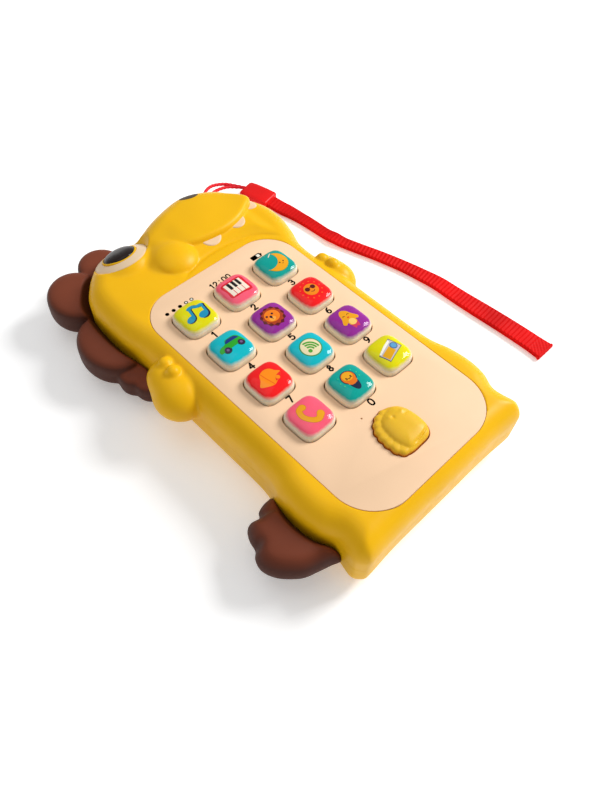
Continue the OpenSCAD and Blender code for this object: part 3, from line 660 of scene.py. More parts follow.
def strap_pocket():
    """Opening at the corner of the head where the cord comes out."""
    x, y, z = POST
    ring = [[x - 4, y + 14], [x - 5, y], [x - 3.6, y - 3.6], [x, y - 5], [x + 14, y - 8], [x + 16, y + 12]]
    return prism(ring, z - 2.6, z + 2.6)


def inner_space():
    """The hollow, less solid plastic behind the eye and round the strap pocket."""
    wide = EYE_RIM + 0.8
    eye_post = turned([(0.01, EYE_R - 8), (wide, EYE_R - 8), (wide, EYE_R + 12), (0.01, EYE_R + 12)])
    pocket_post = peg(POST[0], POST[1], 7.2, 0, FACE_Z, 60)
    mesh = cut_away(make_mesh("cavity", *cavity()), [eye_post, pocket_post])
    out = np.array([v.co for v in mesh.vertices]) / MM, [tuple(p.vertices) for p in mesh.polygons]
    bpy.data.meshes.remove(mesh)
    return out


def across_body(z0, z1):
    """Block wider than the body between two heights."""
    return block(-80, 80, -100, 120, z0, z1)


def grille_holes():
    """A middle hole and three rings of holes round it."""
    pitch, r = 3.4, 0.9
    at = [(0, 0)] + [(k * math.cos(math.pi * i / (3 * k)), k * math.sin(math.pi * i / (3 * k)))
                     for k in (1, 2, 3) for i in range(6 * k)]
    return merged(*[peg(pitch * x, SPEAKER_Y + pitch * y, r, -1, WALL + 1, 16) for x, y in at])


body_mesh = make_mesh("body", *surface_net(body_field, (-54, -79, -2), (54, 95, 36), STEP))
hollow = inner_space()
front_cuts = [across_body(-10, SEAM_Z + SEAM_GAP), hollow,
              flared(lambda g: panel_ring(0.16 + g), FACE_Z - 1.6, FACE_Z + 0.02, 0.18), strap_pocket(),
              merged(*key_cutters(FACE_Z - 5, FACE_Z - 1, 0.05))] + eye_cutters()
door_ring = rounded_ring(DOOR_LOW[0] - 0.2, DOOR_HIGH[0] + 0.2, DOOR_LOW[1] - 0.2, DOOR_HIGH[1] + 0.2, 3.2)
rear_cuts = [across_body(SEAM_Z - SEAM_GAP, 60), hollow, strap_pocket(),
             prism(door_ring, -1, DOOR_HIGH[2] - 1.4 + 0.05),
             block(-17.3, 17.3, DOOR_LOW[1] + 4, DOOR_HIGH[1] - 8, -1, 6),
             merged(*[peg(x, y, 2.7, -1, 1.9, 32) for x, y in SCREWS]), grille_holes(),
             prism(rounded_ring(-5.5, 5.5, SWITCH_Y - 2.3, SWITCH_Y + 2.3, 1.2), -1, WALL + 1)]
for node, cuts in (("front_shell", front_cuts), ("rear_shell", rear_cuts)):
    place(node + "_moulding", cut_away(body_mesh.copy(), cuts), SHELL, "root", [node], 40)


# ---------- face panel ----------

PANEL_ROWS = [(0, -1.58), (0, -0.14), (-0.05, -0.04), (-0.16, 0)]      # growth, and height from the face
panel_mesh = make_mesh("panel", *loft([at_height(panel_ring(grow), FACE_Z + z) for grow, z in PANEL_ROWS]))
panel_mesh = cut_away(panel_mesh, [merged(*key_cutters(FACE_Z - 4, FACE_Z, 0.16))])
place("face_panel_sheet", panel_mesh, PANEL, "root", ["face_panel"], sharp=30)


# ---------- picture keys ----------

DOME_HALF = KEY_SIDE / 2 - 0.28
DOME_RISE = DOME_HIGH - DOME_LOW


def soft_square(half, share, count):
    """Ring whose shape turns from nearly round near the middle to a soft square at the edge."""
    return squircle(0, 0, half * share, 2.3 + 1.7 * share ** 2, count)


def dome_rise(share):
    return DOME_RISE * (1 - np.clip(share, 0, 1) ** 2.6) ** (1 / 2.2)


def dome_height(x, y):
    """Height of a dome's surface over a point measured from the key's middle."""
    share = np.full(np.shape(x), 0.5)
    for _ in range(8):
        power = 2.3 + 1.7 * np.clip(share, 0, 1) ** 2
        gauge = (np.abs(x) ** power + np.abs(y) ** power + 1e-12) ** (1 / power)
        share = gauge / DOME_HALF
    return DOME_LOW + dome_rise(share)


def key_body(key, centre):
    """Stem, wide flange under the panel, then a soft square body with a rounded top edge."""
    stem = node_box("key_" + key)[0][2] - FACE_Z
    half = KEY_SIDE / 2
    rounding = ((-3.89, 0), (0.6, 0), (1.1, 0.03), (1.5, 0.1), (1.75, 0.19), (1.9, 0.34))
    rows = [(stem, 3.0, 2.0), (-5.3, 3.0, 2.0), (-5.3, half + 1.25, 4.5), (-3.9, half + 1.25, 4.5)]
    rows += [(z, half - less, 4.2) for z, less in rounding]
    rings = [at_height(squircle(0, 0, r, power) + centre, FACE_Z + z) for z, r, power in rows]
    place("key_body_" + key, make_mesh("key_body", *loft(rings)), KEY_CREAM, "press_key_" + key,
          ["key_" + key], sharp=50)


def dome_cap(key, centre, colour):
    rings = [at_height(soft_square(DOME_HALF, 1, 72) + centre, DOME_LOW + 0.02)]
    for share in np.minimum(np.sin(np.radians(np.linspace(90, 4, 20))), 0.9999):
        ring = soft_square(DOME_HALF, share, 72) + centre
        rings.append(at_height(ring, DOME_LOW + 0.03 + dome_rise(share)))
    place("dome_cap_" + key, make_mesh("dome_cap", *loft(rings)), dome_paint[colour], "press_key_" + key,
          ["dome_" + key], sharp=60)


def dome_material(name, colour):
    """Clear glossy cap over a coloured print that fades out at its lower edge."""
    n = Nodes(name)
    base = linear(*colour)
    pale = linear(238, 224, 200)
    print_colour = n.mix(n.remap(n.noise(60, 3.0), 0.35, 0.65, 0, 1), shaded(base, 0.9), base)
    edge = n.math("ADD", n.axis("Z"), n.remap(n.noise(420, 2.0), 0.3, 0.7, -0.00012, 0.00012))
    fade = n.remap(edge, (DOME_LOW + 0.2) * MM, (DOME_LOW + 1.25) * MM, 0.0, 1.0)
    n.set(Base_Color=n.mix(fade, pale, print_colour), Specular_IOR_Level=0.02,
          Coat_Weight=0.45, Coat_Roughness=0.04, Roughness=n.remap(n.noise(300, 3.0), 0.3, 0.7, 0.22, 0.34),
          Subsurface_Weight=0.15, Subsurface_Scale=1.5 * MM)
    n.bump(n.noise(900, 2.0), 0.05, 0.02)
    return n.material


DOME_COLOURS = {"yellow": (226, 218, 8), "pink": (250, 96, 122), "teal": (6, 164, 152),
                "cyan": (14, 188, 200), "purple": (152, 44, 152), "red": (250, 28, 30)}
DOME_OF = dict(zip(KEYS, ["yellow", "pink", "teal", "cyan", "purple", "red",
                          "red", "cyan", "purple", "pink", "teal", "yellow"]))
dome_paint = {c: dome_material("dome_" + c, rgb) for c, rgb in DOME_COLOURS.items()}


# ---------- pictures on the keys ----------
# Each picture is a list of (ink colour, rings), painted in order, in millimetres from the key's middle.

def disc(x, y, rx, ry=None, turn=0.0, count=28):
    a = np.linspace(0, 2 * np.pi, count, endpoint=False)
    px, py = rx * np.cos(a), (ry or rx) * np.sin(a)
    c, s = math.cos(math.radians(turn)), math.sin(math.radians(turn))
    return np.column_stack([x + c * px - s * py, y + s * px + c * py])


def dots(places, r, count=12):
    return [disc(x, y, r, count=count) for x, y in places]


def shape(points, steps=5):
    return catmull(points, steps)


def mirrored(points):
    """Right half of a shape, from top to bottom, with its mirror image."""
    return points + [(-x, y) for x, y in reversed(points) if x]


def line(points, width, end_width=None, steps=4):
    """Rounded stroke along a smooth path; the width may change from the middle to the ends."""
    path = catmull(points, steps, closed=False) if len(points) > 2 else np.array(points, float)
    step = np.gradient(path, axis=0)
    normal = np.column_stack([-step[:, 1], step[:, 0]]) / np.linalg.norm(step, axis=1)[:, None]
    along = np.abs(np.linspace(-1, 1, len(path)))
    half = (width + ((end_width or width) - width) * along ** 3) / 2
    left, right = path + normal * half[:, None], path - normal * half[:, None]

    def end(centre, direction, h):
        a = math.degrees(math.atan2(direction[1], direction[0]))
        return arc(centre[0], centre[1], h, a - 60, a + 60, 5)
    return np.concatenate([right, end(path[-1], step[-1], half[-1]), left[::-1],
                           end(path[0], -step[0], half[0])])


def moved(rings, dx, dy):
    return [np.asarray(r) + [dx, dy] for r in rings]


def ring_of_dots(r, dot, count):
    return dots([(r * math.cos(t), r * math.sin(t)) for t in 2 * np.pi / count * np.arange(count)], dot, 10)


def fan(cx, cy, r0, r1, a0, a1):
    return np.concatenate([arc(cx, cy, r1, a0, a1, 10), arc(cx, cy, r0, a1, a0, 10)])


def star(cx, cy, r0, r1, points, turn=0.0):
    a = np.radians(turn + 180 / points * np.arange(2 * points))
    r = np.where(np.arange(2 * points) % 2 == 0, r1, r0)
    return catmull(np.column_stack([cx + r * np.cos(a), cy + r * np.sin(a)]), 2)


NOTES = [disc(-3.05, -1.45, 1.85, 1.3, 15), disc(2.1, -2.15, 2.1, 1.45, 15),
         line([(-1.65, -1.2), (-0.75, 3.2)], 1.0), line([(3.75, -1.9), (4.35, 2.3)], 1.0),
         line([(-0.95, 3.1), (0.6, 3.35), (2.2, 2.35), (4.35, 2.3)], 1.5)]
CRESCENT = np.concatenate([arc(0.1, 0.0, 4.9, 72, -162, 30), arc(-2.75, 2.6, 4.75, -118, 33, 20)])
BELL = shape([(-5.0, -1.0), (-3.4, 0.8), (-2.0, 2.9), (0.4, 3.7), (2.4, 3.0), (3.5, 1.2), (4.8, -0.1),
              (3.2, -1.7), (1.4, -2.7), (-0.6, -3.4), (-3.0, -2.6)])
CHICK = shape(mirrored([(0, 4.9), (1.7, 3.6), (2.5, 1.3), (3.8, -0.8), (3.0, -1.8), (1.9, -1.4), (1.6, -2.6),
                        (0, -3.2)]))
RECEIVER = [(-0.6, 3.3), (-2.2, 3.0), (-2.95, 0.9), (-2.35, -1.2), (-0.85, -2.95), (0.9, -3.5), (2.6, -2.4)]
PIANO_FRAME = shape([(-4.7, 4.0), (0, 4.1), (4.8, 3.95), (4.7, 0), (4.45, -4.0), (0, -3.7), (-4.75, -3.35),
                     (-4.7, 0)], 3)
WHITE_KEYS = [shape([(x, -2.9 - 0.08 * i), (x + 1.7, -2.95 - 0.08 * i), (x + 1.7, 3.4), (x, 3.45)], 1)
              for i, x in enumerate((-3.95, -1.97, 0.01, 1.99))]
BLACK_KEYS = [shape([(x - 0.62, 0.0), (x + 0.62, -0.05), (x + 0.66, 3.4), (x - 0.6, 3.42)], 1)
              for x in (-2.05, 0.02, 2.0)]
CAR_BODY = shape([(-5.35, -0.7), (-5.1, 0.35), (-3.8, 1.1), (-1.9, 1.35), (-0.8, 2.8), (0.6, 3.0),
                  (2.9, 2.95), (4.2, 2.3), (4.9, 1.0), (5.2, -0.2), (5.1, -1.2), (0, -1.35), (-4.6, -1.3)])
CAR_WINDOW = shape([(-1.5, 1.3), (-0.5, 2.6), (1.0, 2.72), (2.9, 2.6), (3.8, 2.0), (4.2, 1.2), (1.5, 1.15)])
WHEELS = [(-2.6, -1.3), (3.5, -1.3)]
LAMP_SCREW = shape([(-1.6, -0.9), (1.6, -0.9), (1.5, -2.9), (0.6, -4.3), (-0.6, -4.3), (-1.5, -2.9)], 3)
LAMP_NECK = shape([(-1.9, 0), (1.9, 0), (1.25, -1.7), (-1.25, -1.7)], 2)
LAMP_RAYS = [(side * x, y) for side in (-1, 1) for x, y in ((3.9, 1.3), (3.6, -0.4), (3.1, 3.4))]
CARD = np.array([(-4.8, 0.4), (3.4, 3.8), (4.9, -1.5), (-3.5, -3.9)])
PICTURES = {
    "music": [((38, 24, 58), moved([r * 1.05 for r in NOTES], 0.45, -0.3)), ((22, 144, 184), NOTES)],
    "piano": [((224, 30, 46), [PIANO_FRAME]), ((250, 236, 216), WHITE_KEYS), ((22, 14, 20), BLACK_KEYS)],
    "moon": [((120, 150, 40), [CRESCENT * 1.04]), ((243, 168, 24), [CRESCENT]),
             ((110, 60, 20), dots([(0.95, -1.45), (2.7, -1.5)], 0.34)
              + [line([(1.5, -2.3), (1.85, -2.45), (2.2, -2.3)], 0.2)]),
             ((240, 232, 206), [line([(-0.4, 3.7), (1.5, 5.0)], 0.42)])],
    "1": [((24, 74, 40), dots([(-2.6, -1.25), (3.5, -1.25)], 1.55, 28)), ((40, 170, 40), [CAR_BODY]),
          ((22, 50, 130), [CAR_WINDOW]), ((52, 30, 70), dots(WHEELS, 1.28, 28)),
          ((118, 92, 138), dots(WHEELS, 0.55))],
    "2": [((96, 18, 24), [star(0, 0, 4.35, 4.95, 11, 90)]),
          ((176, 62, 22), [star(0, 0.05, 3.6, 4.3, 11, 74)]),
          ((250, 132, 22), [disc(-0.15, 0.2, 3.05, 2.8)]), ((255, 172, 66), [disc(-0.85, -1.0, 1.35, 1.05)]),
          ((60, 20, 40), dots([(-2.05, 0.95), (0.5, 0.95)], 0.46)
           + [disc(-0.85, -0.1, 0.52, 0.66, count=14), line([(-0.85, -0.5), (-0.85, -1.3)], 0.22)])],
    "3": [((255, 96, 34), ring_of_dots(4.3, 0.34, 12)), ((250, 140, 18), [disc(0, 0, 2.95)]),
          ((96, 12, 14), [disc(-1.25, 0.75, 1.02), disc(1.4, 0.7, 1.02), line([(-0.6, 0.9), (0.7, 0.9)], 0.3),
                          line([(-0.7, -0.9), (0.15, -1.35), (1.0, -0.9)], 0.26)])],
    "4": [((255, 142, 12), [BELL]), ((240, 96, 12), [line([(-1.6, 2.8), (-1.3, 0.4), (-0.5, -3.0)], 0.28)]),
          ((238, 42, 24), [shape([(0.9, -2.6), (2.2, -0.9), (4.9, -0.3), (3.4, -1.8)])]),
          ((255, 142, 12), [disc(2.3, -1.75, 0.8)])],
    "5": [((62, 150, 84), [disc(0, 0, 4.2, count=48)]), ((246, 230, 186), [disc(0, 0, 3.75, count=48)]),
          ((86, 168, 58), [disc(-1.35, -1.25, 0.8)]
           + [fan(-1.35, -1.25, r, r + 0.72, -4, 92) for r in (1.35, 2.45, 3.55)])],
    "6": [((214, 58, 92), [shape([(-1.5, -2.3), (1.5, -2.3), (1.1, -4.7), (0, -4.3), (-1.0, -4.7)])]),
          ((240, 164, 22), [CHICK]), ((250, 206, 110), [disc(0, -1.8, 1.45)]),
          ((130, 76, 20), [line([(-1.5, 1.75), (-1.05, 2.05), (-0.6, 1.75)], 0.26),
                           line([(0.6, 1.8), (1.05, 2.1), (1.5, 1.8)], 0.26)]),
          ((230, 84, 26), [shape([(0.05, 1.0), (0.55, 0.6), (0.05, 0.15), (-0.45, 0.6)], 2)])],
    "7": [((214, 120, 20), [line(RECEIVER, 2.1, 2.9)]), ((238, 164, 22), [line(RECEIVER, 1.75, 2.55)])],
    "8": [((26, 40, 70), [disc(0, 1.45, 3.0, count=40), LAMP_SCREW]),
          ((236, 120, 20), [disc(0, 1.45, 2.65, count=40), LAMP_NECK]),
          ((246, 172, 28), [disc(0, 2.0, 2.1, 1.9)]),
          ((70, 30, 20), dots([(-1.05, 1.5), (1.05, 1.5)], 0.3, 10)
           + [line([(-1.3, 0.9), (-0.65, 1.1), (0, 0.7), (0.65, 1.1), (1.3, 0.9)], 0.28)]),
          ((60, 200, 140), dots(LAMP_RAYS, 0.3, 10))],
    "9": [((96, 90, 84), [shape(CARD * 1.03, 1)]), ((196, 190, 196), [shape(CARD * 0.95, 1)]),
          ((226, 164, 18), [shape([(-4.1, -0.3), (0.8, 1.1), (1.6, -1.7), (-3.2, -3.3)], 1)]),
          ((250, 246, 232), [shape([(-4.4, 0.75), (-0.6, 2.35), (2.9, 3.45), (2.5, 2.4), (-4.2, 0.15)], 1)]),
          ((70, 104, 150), [disc(2.5, 0.3, 1.5)]), ((92, 160, 206), [disc(2.5, 0.3, 1.15)])],
}
inks = {}


def ink(colour):
    if colour not in inks:
        inks[colour] = moulded("ink_%02x%02x%02x" % colour, colour, rough=0.35, shine=0.05, shade=0.9,
                               grain=0.06, coat=0.6)
    return inks[colour]


def printed_sheet(ring, height, lift, number, cell=1.1, thick=0.05):
    """Thin closed sheet that fills a ring and follows a surface, cut into cells so that it can bend."""
    part = bmesh.new()
    face = part.faces.new([part.verts.new((p[0], p[1], 0)) for p in ring])
    face.normal_update()
    if face.normal.z < 0:
        face.normal_flip()
    bmesh.ops.triangulate(part, faces=part.faces[:])
    for axis, (low, high) in enumerate(zip(np.min(ring, 0), np.max(ring, 0))):
        along = Vector(np.eye(3)[axis])
        for level in np.arange(math.ceil(low / cell) * cell, high, cell):
            bmesh.ops.bisect_plane(part, geom=part.verts[:] + part.edges[:] + part.faces[:],
                                   plane_co=along * level, plane_no=along)
    co = np.array([v.co for v in part.verts])
    for v, z in zip(part.verts, height(co[:, 0], co[:, 1])):
        v.co.z = z + lift
    for made in bmesh.ops.extrude_face_region(part, geom=part.faces[:])["geom"]:
        if isinstance(made, bmesh.types.BMVert):
            made.co.z -= thick
    for f in part.faces:
        f.material_index = number
        f.smooth = True
    bmesh.ops.recalc_face_normals(part, faces=part.faces[:])
    mesh = bpy.data.meshes.new("part")
    part.to_mesh(mesh)
    part.free()
    return mesh


def film(name, layers, height, body, at=(0, 0), lift=0.0):
    """Printed film of (material, rings) layers on a surface, later layers just above earlier ones."""
    bm = bmesh.new()
    for number, (_, rings) in enumerate(layers):
        for ring in rings:
            mesh = printed_sheet(ring, height, lift + 0.018 * number, number)
            bm.from_mesh(mesh)
            bpy.data.meshes.remove(mesh)
    for v in bm.verts:
        v.co = Vector((v.co.x + at[0], v.co.y + at[1], v.co.z)) * MM
    mesh = bpy.data.meshes.new(name)
    bm.to_mesh(mesh)
    bm.free()
    return place(name, mesh, [material for material, _ in layers], body, sharp=50)


for key, centre in KEY_AT.items():
    key_body(key, centre)
    dome_cap(key, centre, DOME_OF[key])
    film("picture_" + key, [(ink(colour), rings) for colour, rings in PICTURES[key]], dome_height,
         "press_key_" + key, centre, 0.05)


# ---------- home key ----------

def polar_sheet(ring, centre, height, low, rows=34):
    """Closed piece whose top follows a height function inside a ring, with straight walls down to low."""
    shares = np.concatenate([np.linspace(1, 0.7, rows // 2), np.linspace(0.7, 0.02, rows // 2)[1:]])
    rings = [at_height(ring, low)]
    for s in shares:
        r = centre + (ring - centre) * s
        rings.append(np.column_stack([r, height(r[:, 0], r[:, 1])]))
    return loft(rings)


def depth_inside(ring):
    """Map of the distance inside a ring."""
    low, high = ring.min(0) - 1, ring.max(0) + 1
    return PlaneMap(lambda x, y: -ring_distance(x, y, ring), low, high, 0.2, blur=2)


HEAD_POINTS = [(1.6, 7.7), (4.6, 7.3), (7.1, 4.3), (8.0, 0.3), (8.0, -3.3), (7.3, -6.0), (4.9, -8.1),
               (0.4, -8.5), (-3.6, -8.0), (-5.2, -5.8), (-6.0, -2.4), (-5.8, 0.9), (-5.1, 4.0), (-2.9, 6.4)]
home_depth = depth_inside(home_ring())
head_depth = depth_inside(catmull(HOME[:2] + np.array(HEAD_POINTS), 6))


def bump_at(x, y, cx, cy, spread, wide=1.0):
    """Round or wide bump of height 1 at a place measured from the middle of the home key."""
    return np.exp(-((x - HOME[0] - cx) ** 2 / (spread * wide) ** 2 + (y - HOME[1] - cy) ** 2 / spread ** 2))


def home_height(x, y):
    """A round head with a scalloped mane, one eye, a nostril and a mouth line."""
    out, head = home_depth(x, y), head_depth(x, y)
    mane_rise = np.sqrt(np.clip(1 - (1 - np.clip(out / 1.5, 0, 1)) ** 2, 0, 1))
    turn = np.degrees(np.arctan2(y - HOME[1], x - HOME[0])) % 360
    mane = FACE_Z + 0.5 + (1.15 + 0.12 * scallop(turn) ** 0.6) * mane_rise
    rise = (1 - (1 - np.clip(head / 6.2, 0, 1)) ** 2.4) ** (1 / 2.0)
    top = FACE_Z + 0.75 + (HOME_HIGH - FACE_Z - 0.85) * rise
    z = np.where(head > -0.15, soft_max(mane, top, 0.25), mane)
    z = z - 0.42 * bump_at(x, y, 0.3, 3.75, 0.62) + 0.26 * bump_at(x, y, -0.85, 4.75, 0.85)
    z = z + 0.4 * bump_at(x, y, 4.6, 3.7, 0.75, 1.7) - 0.16 * bump_at(x, y, 5.2, 2.2, 0.5, 2.2)
    mouth = np.exp(-((y - HOME[1] + 7.5 - 0.02 * (x - HOME[0] + 2) ** 2) / 0.36) ** 2)
    z = z - 0.6 * mouth * ease(-2.5, 0.5, x - HOME[0]) * (1 - ease(6.6, 7.8, x - HOME[0]))
    return z


home_mesh = make_mesh("home", *polar_sheet(home_ring(), HOME[:2] + [-0.3, 0], home_height, FACE_Z - 3.4))
place("home_key_moulding", home_mesh, HOME_YELLOW, "press_home_key", ["home_key"], sharp=60)


# ---------- eye, teeth, nostril ----------

def surface_height(x, y, field=body_field, top=40.0, bottom=15.0):
    """Height of the highest surface of a field over points x, y: a coarse walk down, then halving."""
    x, y = np.broadcast_arrays(np.asarray(x, float), np.asarray(y, float))
    high, low = np.full(x.shape, top), np.full(x.shape, bottom)
    levels = np.linspace(top, bottom, 60)
    found = np.zeros(x.shape, bool)
    for a, b in zip(levels[:-1], levels[1:]):
        hit = (field(x, y, np.full(x.shape, b)) < 0) & ~found
        high, low = np.where(hit, a, high), np.where(hit, b, low)
        found |= hit
    for _ in range(16):
        middle = (high + low) / 2
        inside = field(x, y, middle) < 0
        low, high = np.where(inside, middle, low), np.where(inside, high, middle)
    return (high + low) / 2


def plain_face(x, y, z):
    """The key face side of the body without the snout, the eye and the arms."""
    return rolled(outline_map(x, y), z - face_height(x, y), FACE_ROUND)


def tooth(x, y, half, length, lean):
    """Blunt tooth that hangs down from the lip and follows the face, a little proud of it."""
    side = [[half, 0.9], [half * 0.82, -length * 0.5], [half * 0.3, -length]]
    p = catmull(side + [[-u, v] for u, v in reversed(side)] + [[0, 1.2]], 6)
    c, s = math.cos(math.radians(lean)), math.sin(math.radians(lean))
    ring = np.column_stack([x + c * p[:, 0] - s * p[:, 1], y + s * p[:, 0] + c * p[:, 1]])[::-1]
    depth = depth_inside(ring)

    def top(px, py):
        return surface_height(px, py, plain_face) + 0.34 * np.sqrt(np.clip(depth(px, py) / 0.5, 0, 1))
    return polar_sheet(ring, ring.mean(0), top, FACE_Z - 3.5, 12)


def nostril_patch():
    """Thin painted oval that follows the snout, with its edge sunk below the surface."""
    rings = []
    for s in (1.0, 0.97, 0.8, 0.6, 0.4, 0.2, 0.03):
        r = disc(20.2, 83.4, 4.4 * s, 2.6 * s, -14, 40)
        rings.append(np.column_stack([r, surface_height(r[:, 0], r[:, 1]) + (0.06 if s < 1 else -0.25)]))
    return make_mesh("nostril", *loft(rings))


ring_top = cap_profile(EYE_R + 0.05, RIM_R + 0.2, RING_R - 0.2, 16)
ring_low = cap_profile(EYE_R - 0.65, RIM_R + 0.06, RING_R, 8)
ring_profile = ([(RIM_R + 0.06, ring_top[0][1] - 0.1)] + ring_top + [(RING_R, ring_top[-1][1] - 0.12)]
                + ring_low[::-1])
place("eye_ring_insert", make_mesh("eye_ring", *turned(ring_profile, 128)), EYE_CREAM, "root", ["eye_ring"],
      sharp=35)
swell = np.sin(np.radians(np.linspace(0.1, 90, 26)))
pupil_profile = [(PUPIL_R * s, EYE_R - 0.95 + 1.9 * math.sqrt(max(0, 1 - s ** 2.6))) for s in swell]
pupil_profile += [(PUPIL_R, EYE_R - 3.5), (0.005, EYE_R - 3.5)]
place("eye_pupil_cap", make_mesh("eye_pupil", *turned(pupil_profile, 128)), EYE_BLACK, "root", ["eye_pupil"],
      sharp=35)
place("teeth_inserts", make_mesh("teeth", *merged(*[tooth(*t) for t in TEETH])), TOOTH, "root", ["teeth"],
      sharp=60)
place("nostril_print", nostril_patch(), NOSTRIL, "root", sharp=60)


# ---------- soft mane and tail ----------

# Lobes of the mane: centre, radii and slope
MANE = [((-23.9, 88.3, 12.4), (9.4, 9.6, 5.8), 0.0), ((-41, 79.8, 12.8), (11.4, 13.1, 6.8), -0.05),
        ((-45.1, 51.7, 12.2), (11.7, 15.2, 6.8), -0.05), ((-44.4, 36.5, 9.6), (7.6, 7.2, 5.2), -0.04),
        ((-43, 30.2, 9.2), (6.5, 6.4, 4.8), 0.0)]
TAIL = catmull([(-38, -36), (-44, -35.2), (-47, -35.5), (-49.8, -36.6), (-51.6, -38.9), (-55, -38.3),
                (-57.4, -39.7), (-59.1, -42.8), (-59.9, -46.3), (-62.0, -48.6), (-62.9, -52.4),
                (-61.2, -57.0), (-57.8, -60.9), (-54.2, -63.6), (-49.6, -65.2), (-45.4, -66.5),
                (-41, -67.8), (-37, -65)], 6)
tail_map = PlaneMap(lambda x, y: ring_distance(x, y, TAIL), (-70, -75), (-30, -28), 0.4, blur=1)


def pillow(x, y, z, centre, radii, slope, power=4.0):
    """Rough signed distance to a puffed flat lobe."""
    dx, dy = x - centre[0], y - centre[1]
    dz = z - centre[2] + slope * dx
    q = ((dx / radii[0]) ** 2 + (dy / radii[1]) ** 2) ** (power / 2) + np.abs(dz / radii[2]) ** power
    return (np.maximum(q, 1e-9) ** (1 / power) - 1) * min(radii)


def beside_body(soft, x, y, z):
    """A soft piece's field, sloping down where it meets the side of the body and kept clear of it."""
    slope = 0.49 * (z - 13.0 - 1.8 * outline_map(x, y))
    return np.maximum(soft_max(soft, slope, 1.0), 0.15 - body_field(x, y, z))


def mane_field(x, y, z):
    lobes = [pillow(x, y, z, *lobe) for lobe in MANE]
    out = lobes[0]
    for lobe in lobes[1:]:
        out = soft_min(out, lobe, 0.7)
    return beside_body(out, x, y, z)


def tail_field(x, y, z):
    """Flat puffed tail whose front lobe lies lower behind a crease."""
    d = tail_map(x, y)
    side = (x + 52) * 0.524 + (y + 39.2) * 0.854
    top = 18.6 - 0.012 * ((x + 49) ** 2 + (y + 53) ** 2) - 1.7 * ease(-0.4, 1.6, side)
    top = top - 0.7 * np.exp(-(side / 0.8) ** 2)
    notch = np.hypot(x + 59.8, (y + 46.4) * 1.6)
    top = top - 1.6 * np.exp(-(notch / 2.2) ** 2)
    slab = np.maximum(rolled(d, z - top, 5.4), rolled(d, 5.6 - z, 5.4))
    return beside_body(slab, x, y, z)


mane_low = np.min([np.subtract(centre, radii) for centre, radii, _ in MANE], 0) - 2
mane_high = np.max([np.add(centre, radii) for centre, radii, _ in MANE], 0) + 2
for node, field, low, high in (("mane", mane_field, mane_low, mane_high),
                               ("tail", tail_field, (-66, -71, 3), (-34, -31, 22))):
    place(node + "_soft_moulding", make_mesh(node, *surface_net(field, low, high, STEP * 1.1)), SOFT_BROWN,
          "root", [node], sharp=50)


# ---------- wrist strap ----------

def sweep(path, section):
    """Closed solid swept along a path; section(i, side, up) gives the ring at point i."""
    rings = []
    for i, (p, step) in enumerate(zip(path, np.gradient(path, axis=0))):
        along = unit(step)
        side = unit(np.cross([0, 0, 1.0], along))
        rings.append(p + section(i, side, np.cross(along, side)))
    return loft(rings)


def spaced(path, gap):
    """The path with points at equal steps, and the run from its start to each point."""
    run = np.concatenate([[0], np.cumsum(np.linalg.norm(np.diff(path, axis=0), axis=1))])
    s = np.linspace(0, run[-1], max(8, int(run[-1] / gap)))
    return np.column_stack([np.interp(s, run, path[:, k]) for k in range(path.shape[1])]), s


def cord(path, r=0.8, twist=2.2, strands=3):
    """Twisted cord along a path."""
    path, run = spaced(path, 0.22)
    a = np.linspace(0, 2 * np.pi, 18, endpoint=False)

    def section(i, side, up):
        rr = r * (0.93 + 0.09 * np.cos(strands * a - 2 * np.pi * run[i] / twist))
        return np.outer(rr * np.cos(a), side) + np.outer(rr * np.sin(a), up)
    return sweep(path, section)


BUCKLE = np.array([66.5, 90.8])
BUCKLE_Z = 2.5
BUCKLE_TURN = math.radians(13)
BUCKLE_ALONG = np.array([-math.sin(BUCKLE_TURN), math.cos(BUCKLE_TURN)])
BUCKLE_ACROSS = np.array([BUCKLE_ALONG[1], -BUCKLE_ALONG[0]])


def cord_loop(swing, lift):
    """One of the cord's two strands, from the post to the buckle."""
    end = BUCKLE + BUCKLE_ALONG * 7.2
    z = CORD_Z + lift
    return catmull([[POST[0] - 2.0, POST[1] + 1.2 * swing, z], [POST[0] + 0.4, POST[1] + 2.6, z],
                    [34.2, 89.0 + swing, z + 0.2], [40.0, 97.4 + 1.3 * swing, z - 0.6],
                    [48.0, 102.6 + 1.4 * swing, z - 3.0], [56.5, 103.4 + swing, 6.2 + 0.5 * lift],
                    [62.0, 100.6 + 0.6 * swing, 4.4], [end[0], end[1], 3.8]], 14, closed=False)


def buckle():
    """Soft rectangular block with rounded ends, as rows of place along it, half width and half height."""
    a = np.radians(np.linspace(0, 360, 44, endpoint=False))
    k = (np.abs(np.cos(a)) ** 7 + np.abs(np.sin(a)) ** 7) ** (-1 / 7)
    rings = []
    for t, w, h in ((-7.7, 4.7, 1.7), (-7.5, 5.05, 2.05), (-6.9, 5.3, 2.3), (-2, 5.4, 2.4), (3.6, 5.3, 2.35),
                    (6.6, 5.0, 2.2), (7.35, 4.6, 1.95), (7.6, 4.2, 1.6)):
        ring = BUCKLE + BUCKLE_ALONG * t + np.outer(w * k * np.cos(a), BUCKLE_ACROSS)
        rings.append(np.column_stack([ring, BUCKLE_Z + h * k * np.sin(a)])[::-1])
    return clean(*loft(rings))


WEB_LINE = [(68.1, 84.6), (70.6, 74), (72.2, 62), (73.4, 46), (76.9, 34), (81, 22), (84.8, 8), (87.1, -6),
            (88.2, -22), (89.4, -38), (90, -50), (90.2, -61.4)]
WEB_END = WEB_LINE[-1]


